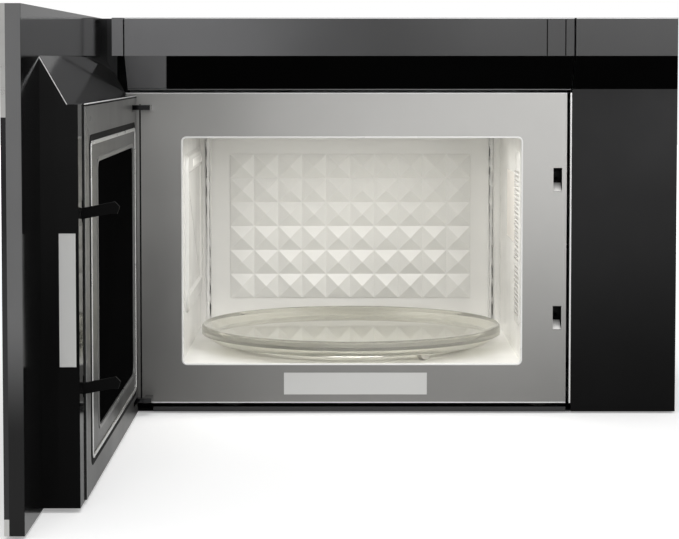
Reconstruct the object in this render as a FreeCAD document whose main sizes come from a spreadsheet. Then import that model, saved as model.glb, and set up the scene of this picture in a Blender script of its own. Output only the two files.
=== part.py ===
import FreeCAD, Part
import Sketcher
import os

# An over the range microwave, in its own frame: +X to the right, +Y towards the
# kitchen wall, +Z up.  The origin is the middle of the rear face.  The door is
# drawn closed, and its pieces are then turned about the hinge axis to stand open
# at a right angle, which is how the part is stored.

doc = FreeCAD.newDocument("over_range_microwave")
sheet = doc.addObject("Spreadsheet::Sheet", "Dims")

DIMENSIONS = {
    # cabinet
    "case_width": 608, "case_height": 412, "case_depth": 366, "steel": 1,
    "case_front_setback": 12, "flange_overlap": 5, "through": 5, "band_proud": 32, "band_height": 39,
    "slope_drop": 34,
    "fascia_sheet": 2, "band_end_inset": 5, "fascia_left_inset": 35, "left_cap_inset": 22,
    "fascia_gap": 1.5, "right_panel_width": 109.5, "right_panel_sheet": 4,
    "trim_width": 1.6, "trim_proud": 1,
    # front plate and cavity
    "plate_steel": 1.2, "plate_left_inset": 18, "plate_drop": 77.3, "plate_foot": 9, "base_lip_inset": 42,
    "base_lip_height": 5,
    "plate_panel_gap": 5.5, "cavity_offset": 35.4, "opening_width": 355,
    "opening_head": 124, "opening_rise": 50, "cavity_lip": 3, "cavity_length": 348, "turn_forward": 1.5,
    "cavity_corner": 12, "opening_corner": 4, "slot_width": 9, "slot_height": 25,
    "slot_inset": 9.4, "slot_spacing": 144.9, "slot_centre_rise": 2.3,
    "port_length": 90, "port_height": 60, "cover_thickness": 0.5, "cover_margin": 8,
    "label_drop": 9, "label_shift": 3.7,
    # embossed wall
    "stud_pitch": 29, "stud_height": 6, "stud_back": 1,
    # turntable
    "tray_radius": 168, "tray_glass": 5, "rim_depth": 18, "rim_width": 19,
    "rim_foot": 12, "rim_flare": 8, "rim_lip": 6,
    "rim_lower": 4.2, "roller_radius": 5.9, "roller_width": 9, "roller_circle": 138,
    "axle_radius": 1.5, "axle_clearance": 0.05, "ring_thickness": 3, "ring_band": 10,
    "roller_seat_gap": 0.15, "coupler_radius": 13, "shaft_radius": 4, "shaft_clearance": 1.5,
    "turntable_motor_radius": 25, "turntable_motor_height": 16, "first_roller_angle": 56,
    "motor_gap": 0.3, "hub_height": 6, "ring_gap": 0.4, "axle_end": 1.5, "rim_slope": 3,
    "panel_gap": 0.5, "trim_gap": 0.6,
    # door
    "door_side_gap": 1, "door_gap": 2, "door_thickness": 16, "door_foot": 1,
    "door_glass_thickness": 4, "top_strip_height": 87, "bottom_strip_height": 13,
    "liner_depth": 31, "liner_wall": 2, "liner_slope_rise": 39.5,
    "liner_slope_gap": 1.5, "liner_slope_land": 8.3, "liner_hinge_overlap": 5, "liner_free_border": 34,
    "choke_steel": 1, "hook_side_gap": 9.6, "window_hinge_margin": 36, "window_free_margin": 92, "window_foot_margin": 44,
    "window_head_margin": 50, "window_glass": 2, "screen_steel": 0.6,
    "hinge_inset": 28, "hinge_forward": 19, "hinge_pin_radius": 2.5, "hinge_arm_steel": 5,
    "hinge_boss_radius": 5, "hinge_clearance": 0.05, "hinge_leaf_steel": 3,
    "hinge_leaf_gap": 1, "hinge_top_drop": 15, "hinge_bottom_rise": 6,
    "arm_width": 8, "arm_reach": 32, "leaf_overlap": 2.7, "leaf_length": 24,
    "notch_room": 6, "window_step": 6,
    # latch and interlock
    "hook_height": 9, "hook_width": 4.5, "hook_reach": 28, "hook_barb": 4, "hook_root": 14,
    "hook_rise": 8, "plunger_gap": 0.3, "plunger_seat": 5, "spring_length": 12,
    "spring_radius": 3.5, "door_board_width": 40, "door_board_height": 130,
    "door_label_width": 13.6, "door_label_height": 109, "door_label_rise": 1.5,
    "door_label_inset": 9.4,
    "carrier_width": 8, "carrier_depth": 8, "latch_travel": 4, "switch_width": 20,
    "switch_height": 16, "switch_depth": 10, "plunger_radius": 1.8, "plunger_length": 5,
    "plunger_travel": 2, "bracket_steel": 1.2,
    # power parts
    "magnetron_width": 70, "magnetron_depth": 80, "magnetron_height": 84, "antenna_radius": 9,
    "antenna_length": 20, "waveguide_width": 36, "waveguide_height": 80,
    "waveguide_length": 110, "transformer_width": 86, "transformer_depth": 70,
    "transformer_height": 78, "winding_overhang": 14, "core_setback": 12, "capacitor_width": 46,
    "capacitor_depth": 34, "capacitor_height": 80, "board_width": 60, "board_height": 44,
    "board_thickness": 1.6, "fan_radius": 48, "fan_hub_radius": 14, "fan_clearance": 3,
    "fan_shroud_depth": 22, "fan_blades": 5, "blade_pitch": 55, "blade_root": 2, "first_blade_angle": 17,
    "blade_thickness": 1.6, "fan_motor_radius": 22,
    "fan_motor_depth": 26,
    "anode_radius": 20, "yoke_steel": 2, "winding_reach": 8, "bay_gap": 3, "board_rise": 60,
    "board_standoff": 8, "terminal_offset": 10, "post_inset": 5,
    "toroid_radius": 12, "toroid_height": 14, "fan_standoff": 40, "strut_width": 14, "strut_depth": 4,
    # hood
    "vent_end": 15, "vent_side": 8, "foot_depth": 24, "duct_setback": 61, "blower_gap": 2, "hub_plate": 2,
    "vane_thickness": 1.2, "flap_inset": 4,
    "flap_gap": 1.5,
    "blower_radius": 36, "blower_width": 66, "blower_motor_radius": 34,
    "blower_motor_width": 62, "blower_housing_wall": 1.5, "blower_clearance": 6,
    "blower_shaft_radius": 4, "vane_depth": 8, "duct_width": 254,
    "duct_depth": 82, "duct_height": 22, "duct_wall": 1.5, "flap_thickness": 1.2,
    "flap_pin_radius": 2, "filter_width": 190, "filter_depth": 150, "filter_thickness": 9,
    "filter_gap": 0.4, "filter_end": 154, "filter_setback": 190,
    "lamp_radius": 14, "lamp_setback": 58, "lamp_spacing": 330, "lens_thickness": 2.5, "socket_height": 10,
    "bulb_radius": 9, "bulb_length": 18,
    "charcoal_width": 300, "charcoal_depth": 90, "charcoal_thickness": 18,
    "oven_lamp_setback": 40, "oven_lamp_rise": 10, "lamp_holder_width": 30,
    "lamp_holder_depth": 8, "globe_radius": 11, "globe_length": 26, "outlet_width": 300,
    "outlet_depth": 22, "outlet_setback": 40,
    # mounting
    "bolt_radius": 3.5, "bolt_spacing": 500, "bolt_setback": 130, "screw_setback": 40, "screw_pitch": 120,
    "screw_rise": 150,
    "screw_head_radius": 4, "screw_head_height": 2, "label_width": 150, "label_height": 23,
    "label_thickness": 0.3, "gland_radius": 9, "gland_wall": 3, "gland_length": 16, "gland_inset": 40,
}

BLOWER_VANES = 16
MAGNETRON_FINS = 5
STUD_COLUMNS = 10
STUD_ROWS = 6
ROLLERS = 3
ROLLER_NAMES = ("front", "right", "left")

for row, (alias, value) in enumerate(DIMENSIONS.items(), start=1):
    sheet.set("A%d" % row, alias)
    sheet.set("B%d" % row, str(value))
    sheet.setAlias("B%d" % row, alias)
doc.recompute()


def size(alias):
    """The present value of one cell of the sheet."""
    return float(sheet.get(alias))


def words(text):
    """Turn bare dimension names in a formula into references to the sheet."""
    out = ""
    word = ""
    for letter in str(text) + " ":
        if letter.isalnum() or letter == "_":
            word += letter
            continue
        if word in DIMENSIONS:
            out += "Dims." + word
        else:
            out += word
        word = ""
        out += letter
    return out.strip()


def bind(obj, prop, text):
    obj.setExpression(prop, words(text))


def place(obj, corner):
    for axis, text in zip("xyz", corner):
        bind(obj, "Placement.Base." + axis, text)
    return obj


def block(name, low, high):
    """A box between two corners, each given as three formulas."""
    obj = doc.addObject("Part::Box", name)
    for prop, start, end in zip(("Length", "Width", "Height"), low, high):
        bind(obj, prop, "(%s) - (%s)" % (end, start))
    return place(obj, low)


TURNS = {
    "X": FreeCAD.Rotation(FreeCAD.Vector(0, 1, 0), 90),
    "Y": FreeCAD.Rotation(FreeCAD.Vector(1, 0, 0), -90),
    "Z": FreeCAD.Rotation(),
}


def rod(name, start, radius, length, axis="Z"):
    """A round bar that starts at a point and runs along one of the axes."""
    obj = doc.addObject("Part::Cylinder", name)
    obj.Placement = FreeCAD.Placement(FreeCAD.Vector(), TURNS[axis])
    bind(obj, "Radius", radius)
    bind(obj, "Height", length)
    return place(obj, start)


def cut(name, base, *tools):
    """The base less every tool."""
    tool = tools[0]
    if len(tools) > 1:
        tool = join(name + "_tools", *tools)
    obj = doc.addObject("Part::Cut", name)
    obj.Base = base
    obj.Tool = tool
    return obj


def join(name, *pieces):
    obj = doc.addObject("Part::MultiFuse", name)
    obj.Shapes = list(pieces)
    return obj


def group(name, *pieces):
    """Separate solids kept side by side in one node."""
    obj = doc.addObject("Part::Compound", name)
    obj.Links = list(pieces)
    return obj


def rounded(name, base, radius, wanted):
    """Fillet those edges of a block whose middle passes a test."""
    doc.recompute()
    chosen = []
    for number, edge in enumerate(base.Shape.Edges, start=1):
        if wanted(edge.CenterOfMass):
            chosen.append((number, size(radius), size(radius)))
    obj = doc.addObject("Part::Fillet", name)
    obj.Base = base
    obj.Edges = chosen
    return obj


def sketched(name, plane, points):
    """A body with a sketch of the polygon whose corners are given as formulas."""
    body = doc.addObject("PartDesign::Body", name)
    sketch = body.newObject("Sketcher::SketchObject", name + "_sketch")
    for feature in body.Origin.OriginFeatures:
        if feature.Role == plane + "_Plane":
            sketch.AttachmentSupport = [(feature, "")]
    sketch.MapMode = "FlatFace"
    corners = [FreeCAD.Vector(value_of(across), value_of(along), 0) for across, along in points]
    count = len(corners)
    for index in range(count):
        sketch.addGeometry(Part.LineSegment(corners[index], corners[(index + 1) % count]), False)
    for index in range(count):
        sketch.addConstraint(Sketcher.Constraint("Coincident", index, 2, (index + 1) % count, 1))
    for index in range(count):
        for kind, text, value in (("DistanceX", points[index][0], corners[index].x),
                                  ("DistanceY", points[index][1], corners[index].y)):
            number = sketch.addConstraint(Sketcher.Constraint(kind, -1, 1, index, 1, value))
            sketch.setExpression("Constraints[%d]" % number, words(text))
    return body, sketch


def profile(name, plane, points, length, start):
    """A sketched polygon padded along the axis that its plane leaves free."""
    body, sketch = sketched(name, plane, points)
    pad = body.newObject("PartDesign::Pad", name + "_pad")
    pad.Profile = sketch
    bind(pad, "Length", length)
    free_axis = {"XY": "z", "XZ": "y", "YZ": "x"}[plane]
    bind(body, "Placement.Base." + free_axis, start)
    return body


def value_of(text):
    """Work a formula out with the present sizes."""
    return float(sheet.evalExpression(words(text)))


# Planes that many pieces share, as formulas of the dimensions above.

SIDE = "(case_width / 2)"
TOP = "(case_height / 2)"
BOTTOM = "(-case_height / 2)"
PLATE_Y = "(-case_depth)"
BAND_Y = "(-case_depth - band_proud)"
BAND_LOW = "(%s - band_height)" % TOP
SLOPE_LOW = "(%s - slope_drop)" % BAND_LOW

PLATE_LEFT = "(-%s + plate_left_inset)" % SIDE
PANEL_LEFT = "(%s - right_panel_width)" % SIDE
PLATE_RIGHT = "(%s - plate_panel_gap)" % PANEL_LEFT
PLATE_TOP = "(%s - plate_drop)" % TOP
PLATE_BOTTOM = "(%s + plate_foot)" % BOTTOM

CAVITY_X = "(-cavity_offset)"
OPEN_LEFT = "(%s - opening_width / 2)" % CAVITY_X
OPEN_RIGHT = "(%s + opening_width / 2)" % CAVITY_X
OPEN_LOW = "(%s + opening_rise)" % BOTTOM
OPEN_HIGH = "(%s - opening_head)" % TOP
FLOOR_Z = "(%s - cavity_lip)" % OPEN_LOW
CEILING_Z = "(%s + cavity_lip)" % OPEN_HIGH
WALL_LEFT = "(%s - cavity_lip)" % OPEN_LEFT
WALL_RIGHT = "(%s + cavity_lip)" % OPEN_RIGHT
PLATE_BACK = "(%s + plate_steel)" % PLATE_Y
CAVITY_BACK = "(%s + cavity_length)" % PLATE_Y
TURN_Y = "(%s + cavity_length / 2 - turn_forward)" % PLATE_Y
SEAT_Y = "(%s + case_front_setback)" % PLATE_Y

SLOT_X = "(%s - slot_inset)" % PLATE_RIGHT
SLOT_MIDDLE = "((%s + %s) / 2 + slot_centre_rise)" % (OPEN_LOW, OPEN_HIGH)

DOOR_LEFT = "(-%s + door_side_gap)" % SIDE
DOOR_RIGHT = "(%s - door_side_gap)" % SIDE
DOOR_LOW = "(%s + door_foot)" % BOTTOM
DOOR_HIGH = "(%s - door_side_gap)" % TOP
DOOR_BACK = "(%s - door_gap)" % BAND_Y
DOOR_FACE = "(%s - door_thickness)" % DOOR_BACK
GLASS_BACK = "(%s + door_glass_thickness)" % DOOR_FACE
LINER_FACE = "(%s + liner_depth)" % DOOR_BACK
CHOKE_FACE = "(%s + choke_steel)" % LINER_FACE
HINGE_X = "(-%s + hinge_inset)" % SIDE
HINGE_Y = "(%s - hinge_forward)" % PLATE_Y
LINER_LEFT = "(%s - liner_hinge_overlap)" % HINGE_X
CHOKE_RIGHT = "(%s - hook_side_gap)" % SLOT_X
LINER_RIGHT = "(%s + liner_free_border)" % CHOKE_RIGHT
LINER_WIDTH = "(%s - %s)" % (LINER_RIGHT, LINER_LEFT)
LINER_LOW = "(%s + door_foot)" % DOOR_LOW
LINER_HIGH = "(%s - liner_slope_gap)" % BAND_LOW
CHOKE_HIGH = "(%s - liner_slope_rise)" % LINER_HIGH


def cabinet_shell():
    """Wrapper, rear panel and base plate: thin steel round everything else."""
    front = SEAT_Y
    outside = block("wrapper_outside", ("-" + SIDE, front, BOTTOM), (SIDE, "-steel", TOP))
    inside = block("wrapper_inside", ("-%s + steel" % SIDE, front + " - 1", BOTTOM + " - 1"),
                   (SIDE + " - steel", "0", TOP + " - steel"))
    duct = block("wrapper_duct_hole", ("-duct_width / 2", "-duct_setback - duct_depth / 2",
                                       TOP + " - through"),
                 ("duct_width / 2", "-duct_setback + duct_depth / 2", TOP + " + through"))
    outlet = block("wrapper_outlet", ("-outlet_width / 2", front + " + outlet_setback", TOP + " - through"),
                   ("outlet_width / 2", front + " + outlet_setback + outlet_depth", TOP + " + through"))
    bolts = []
    for index, side in enumerate((-1, 1)):
        start = ("%d * bolt_spacing / 2" % side, "-bolt_setback", TOP + " - through")
        bolts.append(rod("wrapper_bolt_hole%d" % index, start, "bolt_radius", "2 * through"))
    flanges = [block("wrapper_flange_left", ("-%s + steel" % SIDE, front, BOTTOM + " + steel"),
                     (PLATE_LEFT + " + flange_overlap", front + " + steel", TOP + " - steel")),
               block("wrapper_flange_fold", (PLATE_LEFT + " - steel", PLATE_Y + " + steel", PLATE_BOTTOM),
                     (PLATE_LEFT, front + " + steel", PLATE_TOP)),
               block("wrapper_flange_right", ("%s - band_end_inset - flange_overlap" % SIDE, front,
                                              SLOPE_LOW),
                     (SIDE + " - steel", front + " + steel", TOP + " - steel"))]
    join("outer_wrapper", cut("wrapper_shell", outside, inside, duct, outlet, *bolts), *flanges)

    gland = rod("rear_gland_hole", ("%s - gland_inset" % SIDE, "-through", TOP + " - gland_inset"),
                "gland_radius + hinge_clearance", "2 * through", "Y")
    rear = block("rear_sheet", ("-" + SIDE, "-steel", BOTTOM), (SIDE, "0", TOP))
    cut("rear_panel", rear, gland)

    low, high = BOTTOM, BOTTOM + " + steel"
    floor = block("base_sheet", ("-%s + steel" % SIDE, PLATE_BACK, low), (SIDE + " - steel", "-steel", high))
    lip = block("base_lip", (PLATE_LEFT + " + base_lip_inset", PLATE_Y, low),
                (PLATE_RIGHT, PLATE_BACK, low + " + base_lip_height"))
    holes = []
    for index, side in enumerate((-1, 1)):
        middle = "(%d * (case_width / 2 - filter_end))" % side
        holes.append(block("filter_hole%d" % index,
                           ("%s - filter_width / 2" % middle, "-filter_setback - filter_depth / 2",
                            low + " - 1"),
                           ("%s + filter_width / 2" % middle, "-filter_setback + filter_depth / 2",
                            high + " + 1")))
        lamp = ("%d * lamp_spacing / 2" % side, "%s + lamp_setback" % PLATE_Y, low + " - 1")
        holes.append(rod("lamp_hole%d" % index, lamp, "lamp_radius", "steel + 2"))
    holes.append(block("panel_seat", (PANEL_LEFT + " - 1", PLATE_Y + " - 1", low + " - 1"),
                       (SIDE + " + 1", PLATE_Y + " + right_panel_sheet", high + " + 1")))
    cut("base_plate", join("base_folded", floor, lip), *holes)


def oven():
    """Cavity shell, its embossed wall, the front plate and what shows on it."""
    outside = block("cavity_outside", ("%s - steel" % WALL_LEFT, PLATE_BACK, "%s - steel" % FLOOR_Z),
                    ("%s + steel" % WALL_RIGHT, "%s + steel" % CAVITY_BACK, "%s + steel" % CEILING_Z))
    inside = block("cavity_inside", (WALL_LEFT, PLATE_Y, FLOOR_Z), (WALL_RIGHT, CAVITY_BACK, CEILING_Z))
    back = value_of(CAVITY_BACK)
    bend = rounded("cavity_bends", inside, "cavity_corner", lambda middle: middle.y > back - 1)
    shaft = rod("cavity_shaft_hole", (CAVITY_X, TURN_Y, "%s - through" % FLOOR_Z),
                "shaft_radius + shaft_clearance", "2 * through")
    port = block("cavity_port",
                 (WALL_RIGHT + " - 1", TURN_Y + " - port_length / 2", "-port_height / 2"),
                 (WALL_RIGHT + " + steel + 1", TURN_Y + " + port_length / 2", "port_height / 2"))
    cut("cavity_shell", outside, bend, shaft, port)
    block("waveguide_cover",
          (WALL_RIGHT + " - cover_thickness", TURN_Y + " - port_length / 2 - cover_margin",
           "-port_height / 2 - cover_margin"),
          (WALL_RIGHT, TURN_Y + " + port_length / 2 + cover_margin", "port_height / 2 + cover_margin"))

    front_plate()
    block("rating_label", (CAVITY_X + " - label_width / 2 + label_shift", PLATE_Y + " - label_thickness",
                           OPEN_LOW + " - label_drop - label_height"),
          (CAVITY_X + " + label_width / 2 + label_shift", PLATE_Y, OPEN_LOW + " - label_drop"))


def front_plate():
    """Flat strips that meet edge to edge round the mouth and the slots, and the mouth's round corners."""
    slot_left = "(%s - slot_width / 2)" % SLOT_X
    slot_right = "(%s + slot_width / 2)" % SLOT_X
    centres = ["(%s + %d * slot_spacing / 2)" % (SLOT_MIDDLE, side) for side in (-1, 1)]
    feet = [centre + " - slot_height / 2" for centre in centres]
    heads = [centre + " + slot_height / 2" for centre in centres]
    spans = {
        "above": (PLATE_LEFT, PLATE_RIGHT, OPEN_HIGH, PLATE_TOP),
        "below": (PLATE_LEFT, PLATE_RIGHT, PLATE_BOTTOM, OPEN_LOW),
        "hinge_side": (PLATE_LEFT, OPEN_LEFT, OPEN_LOW, OPEN_HIGH),
        "beside_mouth": (OPEN_RIGHT, slot_left, OPEN_LOW, OPEN_HIGH),
        "latch_side": (slot_right, PLATE_RIGHT, OPEN_LOW, OPEN_HIGH),
        "under_slots": (slot_left, slot_right, OPEN_LOW, feet[0]),
        "between_slots": (slot_left, slot_right, heads[0], feet[1]),
        "over_slots": (slot_left, slot_right, heads[1], OPEN_HIGH),
    }
    strips = []
    for name, (left, right, low, high) in spans.items():
        strips.append(block("plate_" + name, (left, PLATE_Y, low), (right, PLATE_BACK, high)))
    across = ((OPEN_LEFT, OPEN_LEFT + " + opening_corner"), (OPEN_RIGHT + " - opening_corner", OPEN_RIGHT))
    upward = ((OPEN_LOW, OPEN_LOW + " + opening_corner"), (OPEN_HIGH + " - opening_corner", OPEN_HIGH))
    for column, (left, right) in enumerate(across):
        for row, (low, high) in enumerate(upward):
            name = "mouth_corner_%d_%d" % (column, row)
            filled = block(name + "_square", (left, PLATE_Y, low), (right, PLATE_BACK, high))
            centre = ((right, left)[column], PLATE_Y + " - 1", (high, low)[row])
            bore = rod(name + "_bore", centre, "opening_corner", "plate_steel + 2", "Y")
            strips.append(cut(name, filled, bore))
    group("front_plate", *strips)


def studded_wall():
    """The back wall's ten by six embossed studs, each a low four sided pyramid."""
    pitch = size("stud_pitch")
    back = value_of(CAVITY_BACK)
    face = back - size("stud_back")
    left = value_of(CAVITY_X) - pitch * STUD_COLUMNS / 2
    low = (value_of(OPEN_LOW) + value_of(OPEN_HIGH)) / 2 - pitch * STUD_ROWS / 2
    faces = []
    for column in range(STUD_COLUMNS):
        for row in range(STUD_ROWS):
            x = left + column * pitch
            z = low + row * pitch
            corners = [FreeCAD.Vector(x + a * pitch, face, z + b * pitch)
                       for a, b in ((0, 0), (1, 0), (1, 1), (0, 1))]
            peak = FreeCAD.Vector(x + pitch / 2, face - size("stud_height"), z + pitch / 2)
            for index in range(4):
                near, far = corners[index], corners[(index + 1) % 4]
                faces.append(Part.Face(Part.makePolygon([near, far, peak, near])))
    width = pitch * STUD_COLUMNS
    height = pitch * STUD_ROWS
    spots = [(left + a * width, low + b * height) for a, b in ((0, 0), (1, 0), (1, 1), (0, 1))]
    behind = [FreeCAD.Vector(x, back, z) for x, z in spots]
    faces.append(Part.Face(Part.makePolygon(behind + behind[:1])))
    for index in range(4):
        start, end = spots[index], spots[(index + 1) % 4]
        steps = STUD_COLUMNS if index % 2 == 0 else STUD_ROWS
        rim = []
        for step in range(steps + 1):
            share = step / steps
            rim.append(FreeCAD.Vector(start[0] + share * (end[0] - start[0]), face,
                                      start[1] + share * (end[1] - start[1])))
        edge = [behind[index], *rim, behind[(index + 1) % 4], behind[index]]
        faces.append(Part.Face(Part.makePolygon(edge)))
    skin = Part.makeShell(faces)
    skin.sewShape()
    solid = Part.makeSolid(skin)
    if solid.Volume < 0:
        solid.reverse()
    wall = doc.addObject("Part::Feature", "embossed_back_wall")
    wall.Shape = solid


def turntable():
    """Motor below the floor, coupler, roller ring and rollers, and the glass tray."""
    top = "(%s + 2 * roller_radius + 2 * roller_seat_gap)" % FLOOR_Z
    rod("turntable_motor", (CAVITY_X, TURN_Y, "%s - steel - turntable_motor_height" % FLOOR_Z),
        "turntable_motor_radius", "turntable_motor_height")
    shaft = rod("coupler_shaft", (CAVITY_X, TURN_Y, "%s - steel + motor_gap" % FLOOR_Z), "shaft_radius",
                "%s - %s + steel - motor_gap - roller_seat_gap" % (top, FLOOR_Z))
    hub = rod("coupler_hub", (CAVITY_X, TURN_Y, "%s - hub_height - roller_seat_gap" % top),
              "coupler_radius", "hub_height")
    join("drive_coupler", shaft, hub)

    middle = "(%s + roller_radius + roller_seat_gap)" % FLOOR_Z
    low = "(%s - ring_thickness / 2)" % middle
    inner = "(roller_circle - roller_width / 2 - ring_gap)"
    disc = rod("ring_outside", (CAVITY_X, TURN_Y, low), inner, "ring_thickness")
    hole = rod("ring_inside", (CAVITY_X, TURN_Y, low + " - 1"), inner + " - ring_band", "ring_thickness + 2")
    axles = []
    centre = FreeCAD.Vector(value_of(CAVITY_X), value_of(TURN_Y), 0)
    for index in range(ROLLERS):
        angle = -size("first_roller_angle") + index * 360 / ROLLERS
        turn = FreeCAD.Rotation(FreeCAD.Vector(0, 0, 1), angle) * TURNS["X"]
        axle = doc.addObject("Part::Cylinder", "ring_axle%d" % index)
        bind(axle, "Radius", "axle_radius")
        bind(axle, "Height", "roller_width + ring_gap + axle_end + 2")
        outward(axle, inner + " - 2", angle, turn, middle)
        axles.append(axle)
        wheel = doc.addObject("Part::Cylinder", "roller_blank%d" % index)
        bind(wheel, "Radius", "roller_radius")
        bind(wheel, "Height", "roller_width")
        outward(wheel, "roller_circle - roller_width / 2", angle, turn, middle)
        bore = doc.addObject("Part::Cylinder", "roller_bore%d" % index)
        bind(bore, "Radius", "axle_radius + axle_clearance")
        bind(bore, "Height", "roller_width + 2")
        outward(bore, "roller_circle - roller_width / 2 - 1", angle, turn, middle)
        cut("roller_%s" % ROLLER_NAMES[index], wheel, bore)
    join("roller_ring", cut("ring_band_blank", disc, hole), *axles)

    low = "(%s - rim_lower)" % top
    high = "(%s + rim_depth)" % low
    flat = "(tray_radius - rim_width - rim_slope)"
    points = [("0", top), (flat, top), ("tray_radius - rim_width", low), ("tray_radius - rim_foot", low),
              ("tray_radius", low + " + rim_flare"), ("tray_radius", high + " - 2"),
              ("tray_radius - 2", high), ("tray_radius - rim_lip", high + " - 2"),
              (flat, top + " + tray_glass"), ("0", top + " + tray_glass")]
    body, sketch = sketched("glass_tray", "XZ", points)
    spun = body.newObject("PartDesign::Revolution", "glass_tray_spun")
    spun.Profile = sketch
    spun.ReferenceAxis = (sketch, ["V_Axis"])
    spun.Angle = 360
    place(body, (CAVITY_X, TURN_Y, "0"))


def outward(obj, distance, angle, turn, height):
    """Place a bar so that it starts at a distance from the turntable's axis."""
    obj.Placement = FreeCAD.Placement(FreeCAD.Vector(), turn)
    place(obj, ("%s + (%s) * cos(%f)" % (CAVITY_X, distance, angle),
                "%s + (%s) * sin(%f)" % (TURN_Y, distance, angle), height))


def front_trim():
    """Fascia with its sloped soffit, the two end caps, right panel and trim strip."""
    thick = "fascia_sheet"
    fascia = [(BAND_Y, TOP), (BAND_Y, BAND_LOW), (PLATE_Y, SLOPE_LOW), (PLATE_BACK, SLOPE_LOW),
              (PLATE_BACK, SLOPE_LOW + " + fascia_sheet"),
              (BAND_Y + " + fascia_sheet", BAND_LOW + " + fascia_sheet"),
              (BAND_Y + " + fascia_sheet", "%s - %s" % (TOP, thick)),
              (SEAT_Y, "%s - %s" % (TOP, thick)), (SEAT_Y, TOP)]
    left = "(-%s + fascia_left_inset)" % SIDE
    right = "(%s - fascia_gap)" % PANEL_LEFT
    end = [(BAND_Y, TOP), (BAND_Y, BAND_LOW), (PLATE_Y, SLOPE_LOW), (SEAT_Y, SLOPE_LOW), (SEAT_Y, TOP)]
    join("top_fascia", profile("fascia_skin", "YZ", fascia, "%s - %s" % (right, left), left),
         profile("fascia_end", "YZ", end, thick, left))
    cap_left = "(-%s + left_cap_inset)" % SIDE
    cap = [(BAND_Y, TOP), (BAND_Y, BAND_LOW), (BAND_Y + " + fascia_sheet", BAND_LOW),
           (BAND_Y + " + fascia_sheet", TOP + " - fascia_sheet"), (SEAT_Y, TOP + " - fascia_sheet"),
           (SEAT_Y, TOP)]
    profile("fascia_left_cap", "YZ", cap, "%s - %s - fascia_gap" % (left, cap_left), cap_left)
    cap_right = "(%s - band_end_inset)" % SIDE
    join("fascia_right_cap",
         profile("cap_skin", "YZ", fascia, "%s - %s" % (cap_right, PANEL_LEFT), PANEL_LEFT),
         profile("cap_end", "YZ", end, thick, "%s - %s" % (cap_right, thick)))

    head = SLOPE_LOW + " - panel_gap"
    face = block("panel_face", (PANEL_LEFT, PLATE_Y, BOTTOM), (SIDE, PLATE_Y + " + right_panel_sheet", head))
    side = block("panel_side", (SIDE + " - fascia_sheet", PLATE_Y, BOTTOM + " + steel"), (SIDE, SEAT_Y, head))
    join("right_panel", face, side)
    block("panel_trim", (PANEL_LEFT + " - trim_width - trim_gap", PLATE_Y + " - trim_proud", PLATE_BOTTOM),
          (PANEL_LEFT + " - trim_gap", SEAT_Y, PLATE_TOP))


def hinge_middles():
    upper = "(%s - hinge_top_drop)" % PLATE_TOP
    lower = "(%s + hinge_bottom_rise)" % PLATE_BOTTOM
    return (("upper", upper), ("lower", lower))


def hinges():
    """Body side arms, and the pins and leaves that the door carries."""
    arms, pins, leaves = [], [], []
    for name, middle in hinge_middles():
        low = "(%s - hinge_arm_steel / 2)" % middle
        arm = block("arm_bar_" + name, (HINGE_X, HINGE_Y + " - arm_width / 2", low),
                    (HINGE_X + " + arm_reach", HINGE_Y + " + arm_width / 2", low + " + hinge_arm_steel"))
        foot = block("arm_foot_" + name, (HINGE_X + " + arm_reach - arm_width", HINGE_Y, low),
                     (HINGE_X + " + arm_reach", PLATE_Y, low + " + hinge_arm_steel"))
        boss = rod("arm_boss_" + name, (HINGE_X, HINGE_Y, low), "hinge_boss_radius", "hinge_arm_steel")
        bore = rod("arm_bore_" + name, (HINGE_X, HINGE_Y, low + " - 1"),
                   "hinge_pin_radius + hinge_clearance", "hinge_arm_steel + 2")
        arms.append(cut("hinge_arm_" + name, join("arm_" + name, arm, foot, boss), bore))
        half = "(hinge_arm_steel / 2 + hinge_leaf_gap + hinge_leaf_steel)"
        pins.append(rod("hinge_pin_" + name, (HINGE_X, HINGE_Y, "%s - %s" % (middle, half)),
                        "hinge_pin_radius", "2 * " + half))
        for side, start in (("under", "%s - %s" % (middle, half)),
                            ("over", "%s + %s - hinge_leaf_steel" % (middle, half))):
            label = name + "_" + side
            leaf = block("leaf_" + label, (HINGE_X + " - leaf_overlap", DOOR_BACK, start),
                         (HINGE_X + " + leaf_length", HINGE_Y + " + hinge_boss_radius",
                          start + " + hinge_leaf_steel"))
            eye = rod("leaf_eye_" + label, (HINGE_X, HINGE_Y, start + " - 1"), "hinge_pin_radius",
                      "hinge_leaf_steel + 2")
            leaves.append(cut("hinge_leaf_" + label, leaf, eye))
    group("hinge_arms", *arms)
    swing(group("hinge_pins", *pins))
    swing(group("hinge_leaves", *leaves))


def swing(obj):
    """Turn a closed door piece about the hinge axis, to where it stands open."""
    obj.Placement = FreeCAD.Placement(FreeCAD.Vector(), FreeCAD.Rotation(FreeCAD.Vector(0, 0, 1), -90))
    bind(obj, "Placement.Base.x", "%s - %s" % (HINGE_X, HINGE_Y))
    bind(obj, "Placement.Base.y", "%s + %s" % (HINGE_Y, HINGE_X))
    return obj


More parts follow.
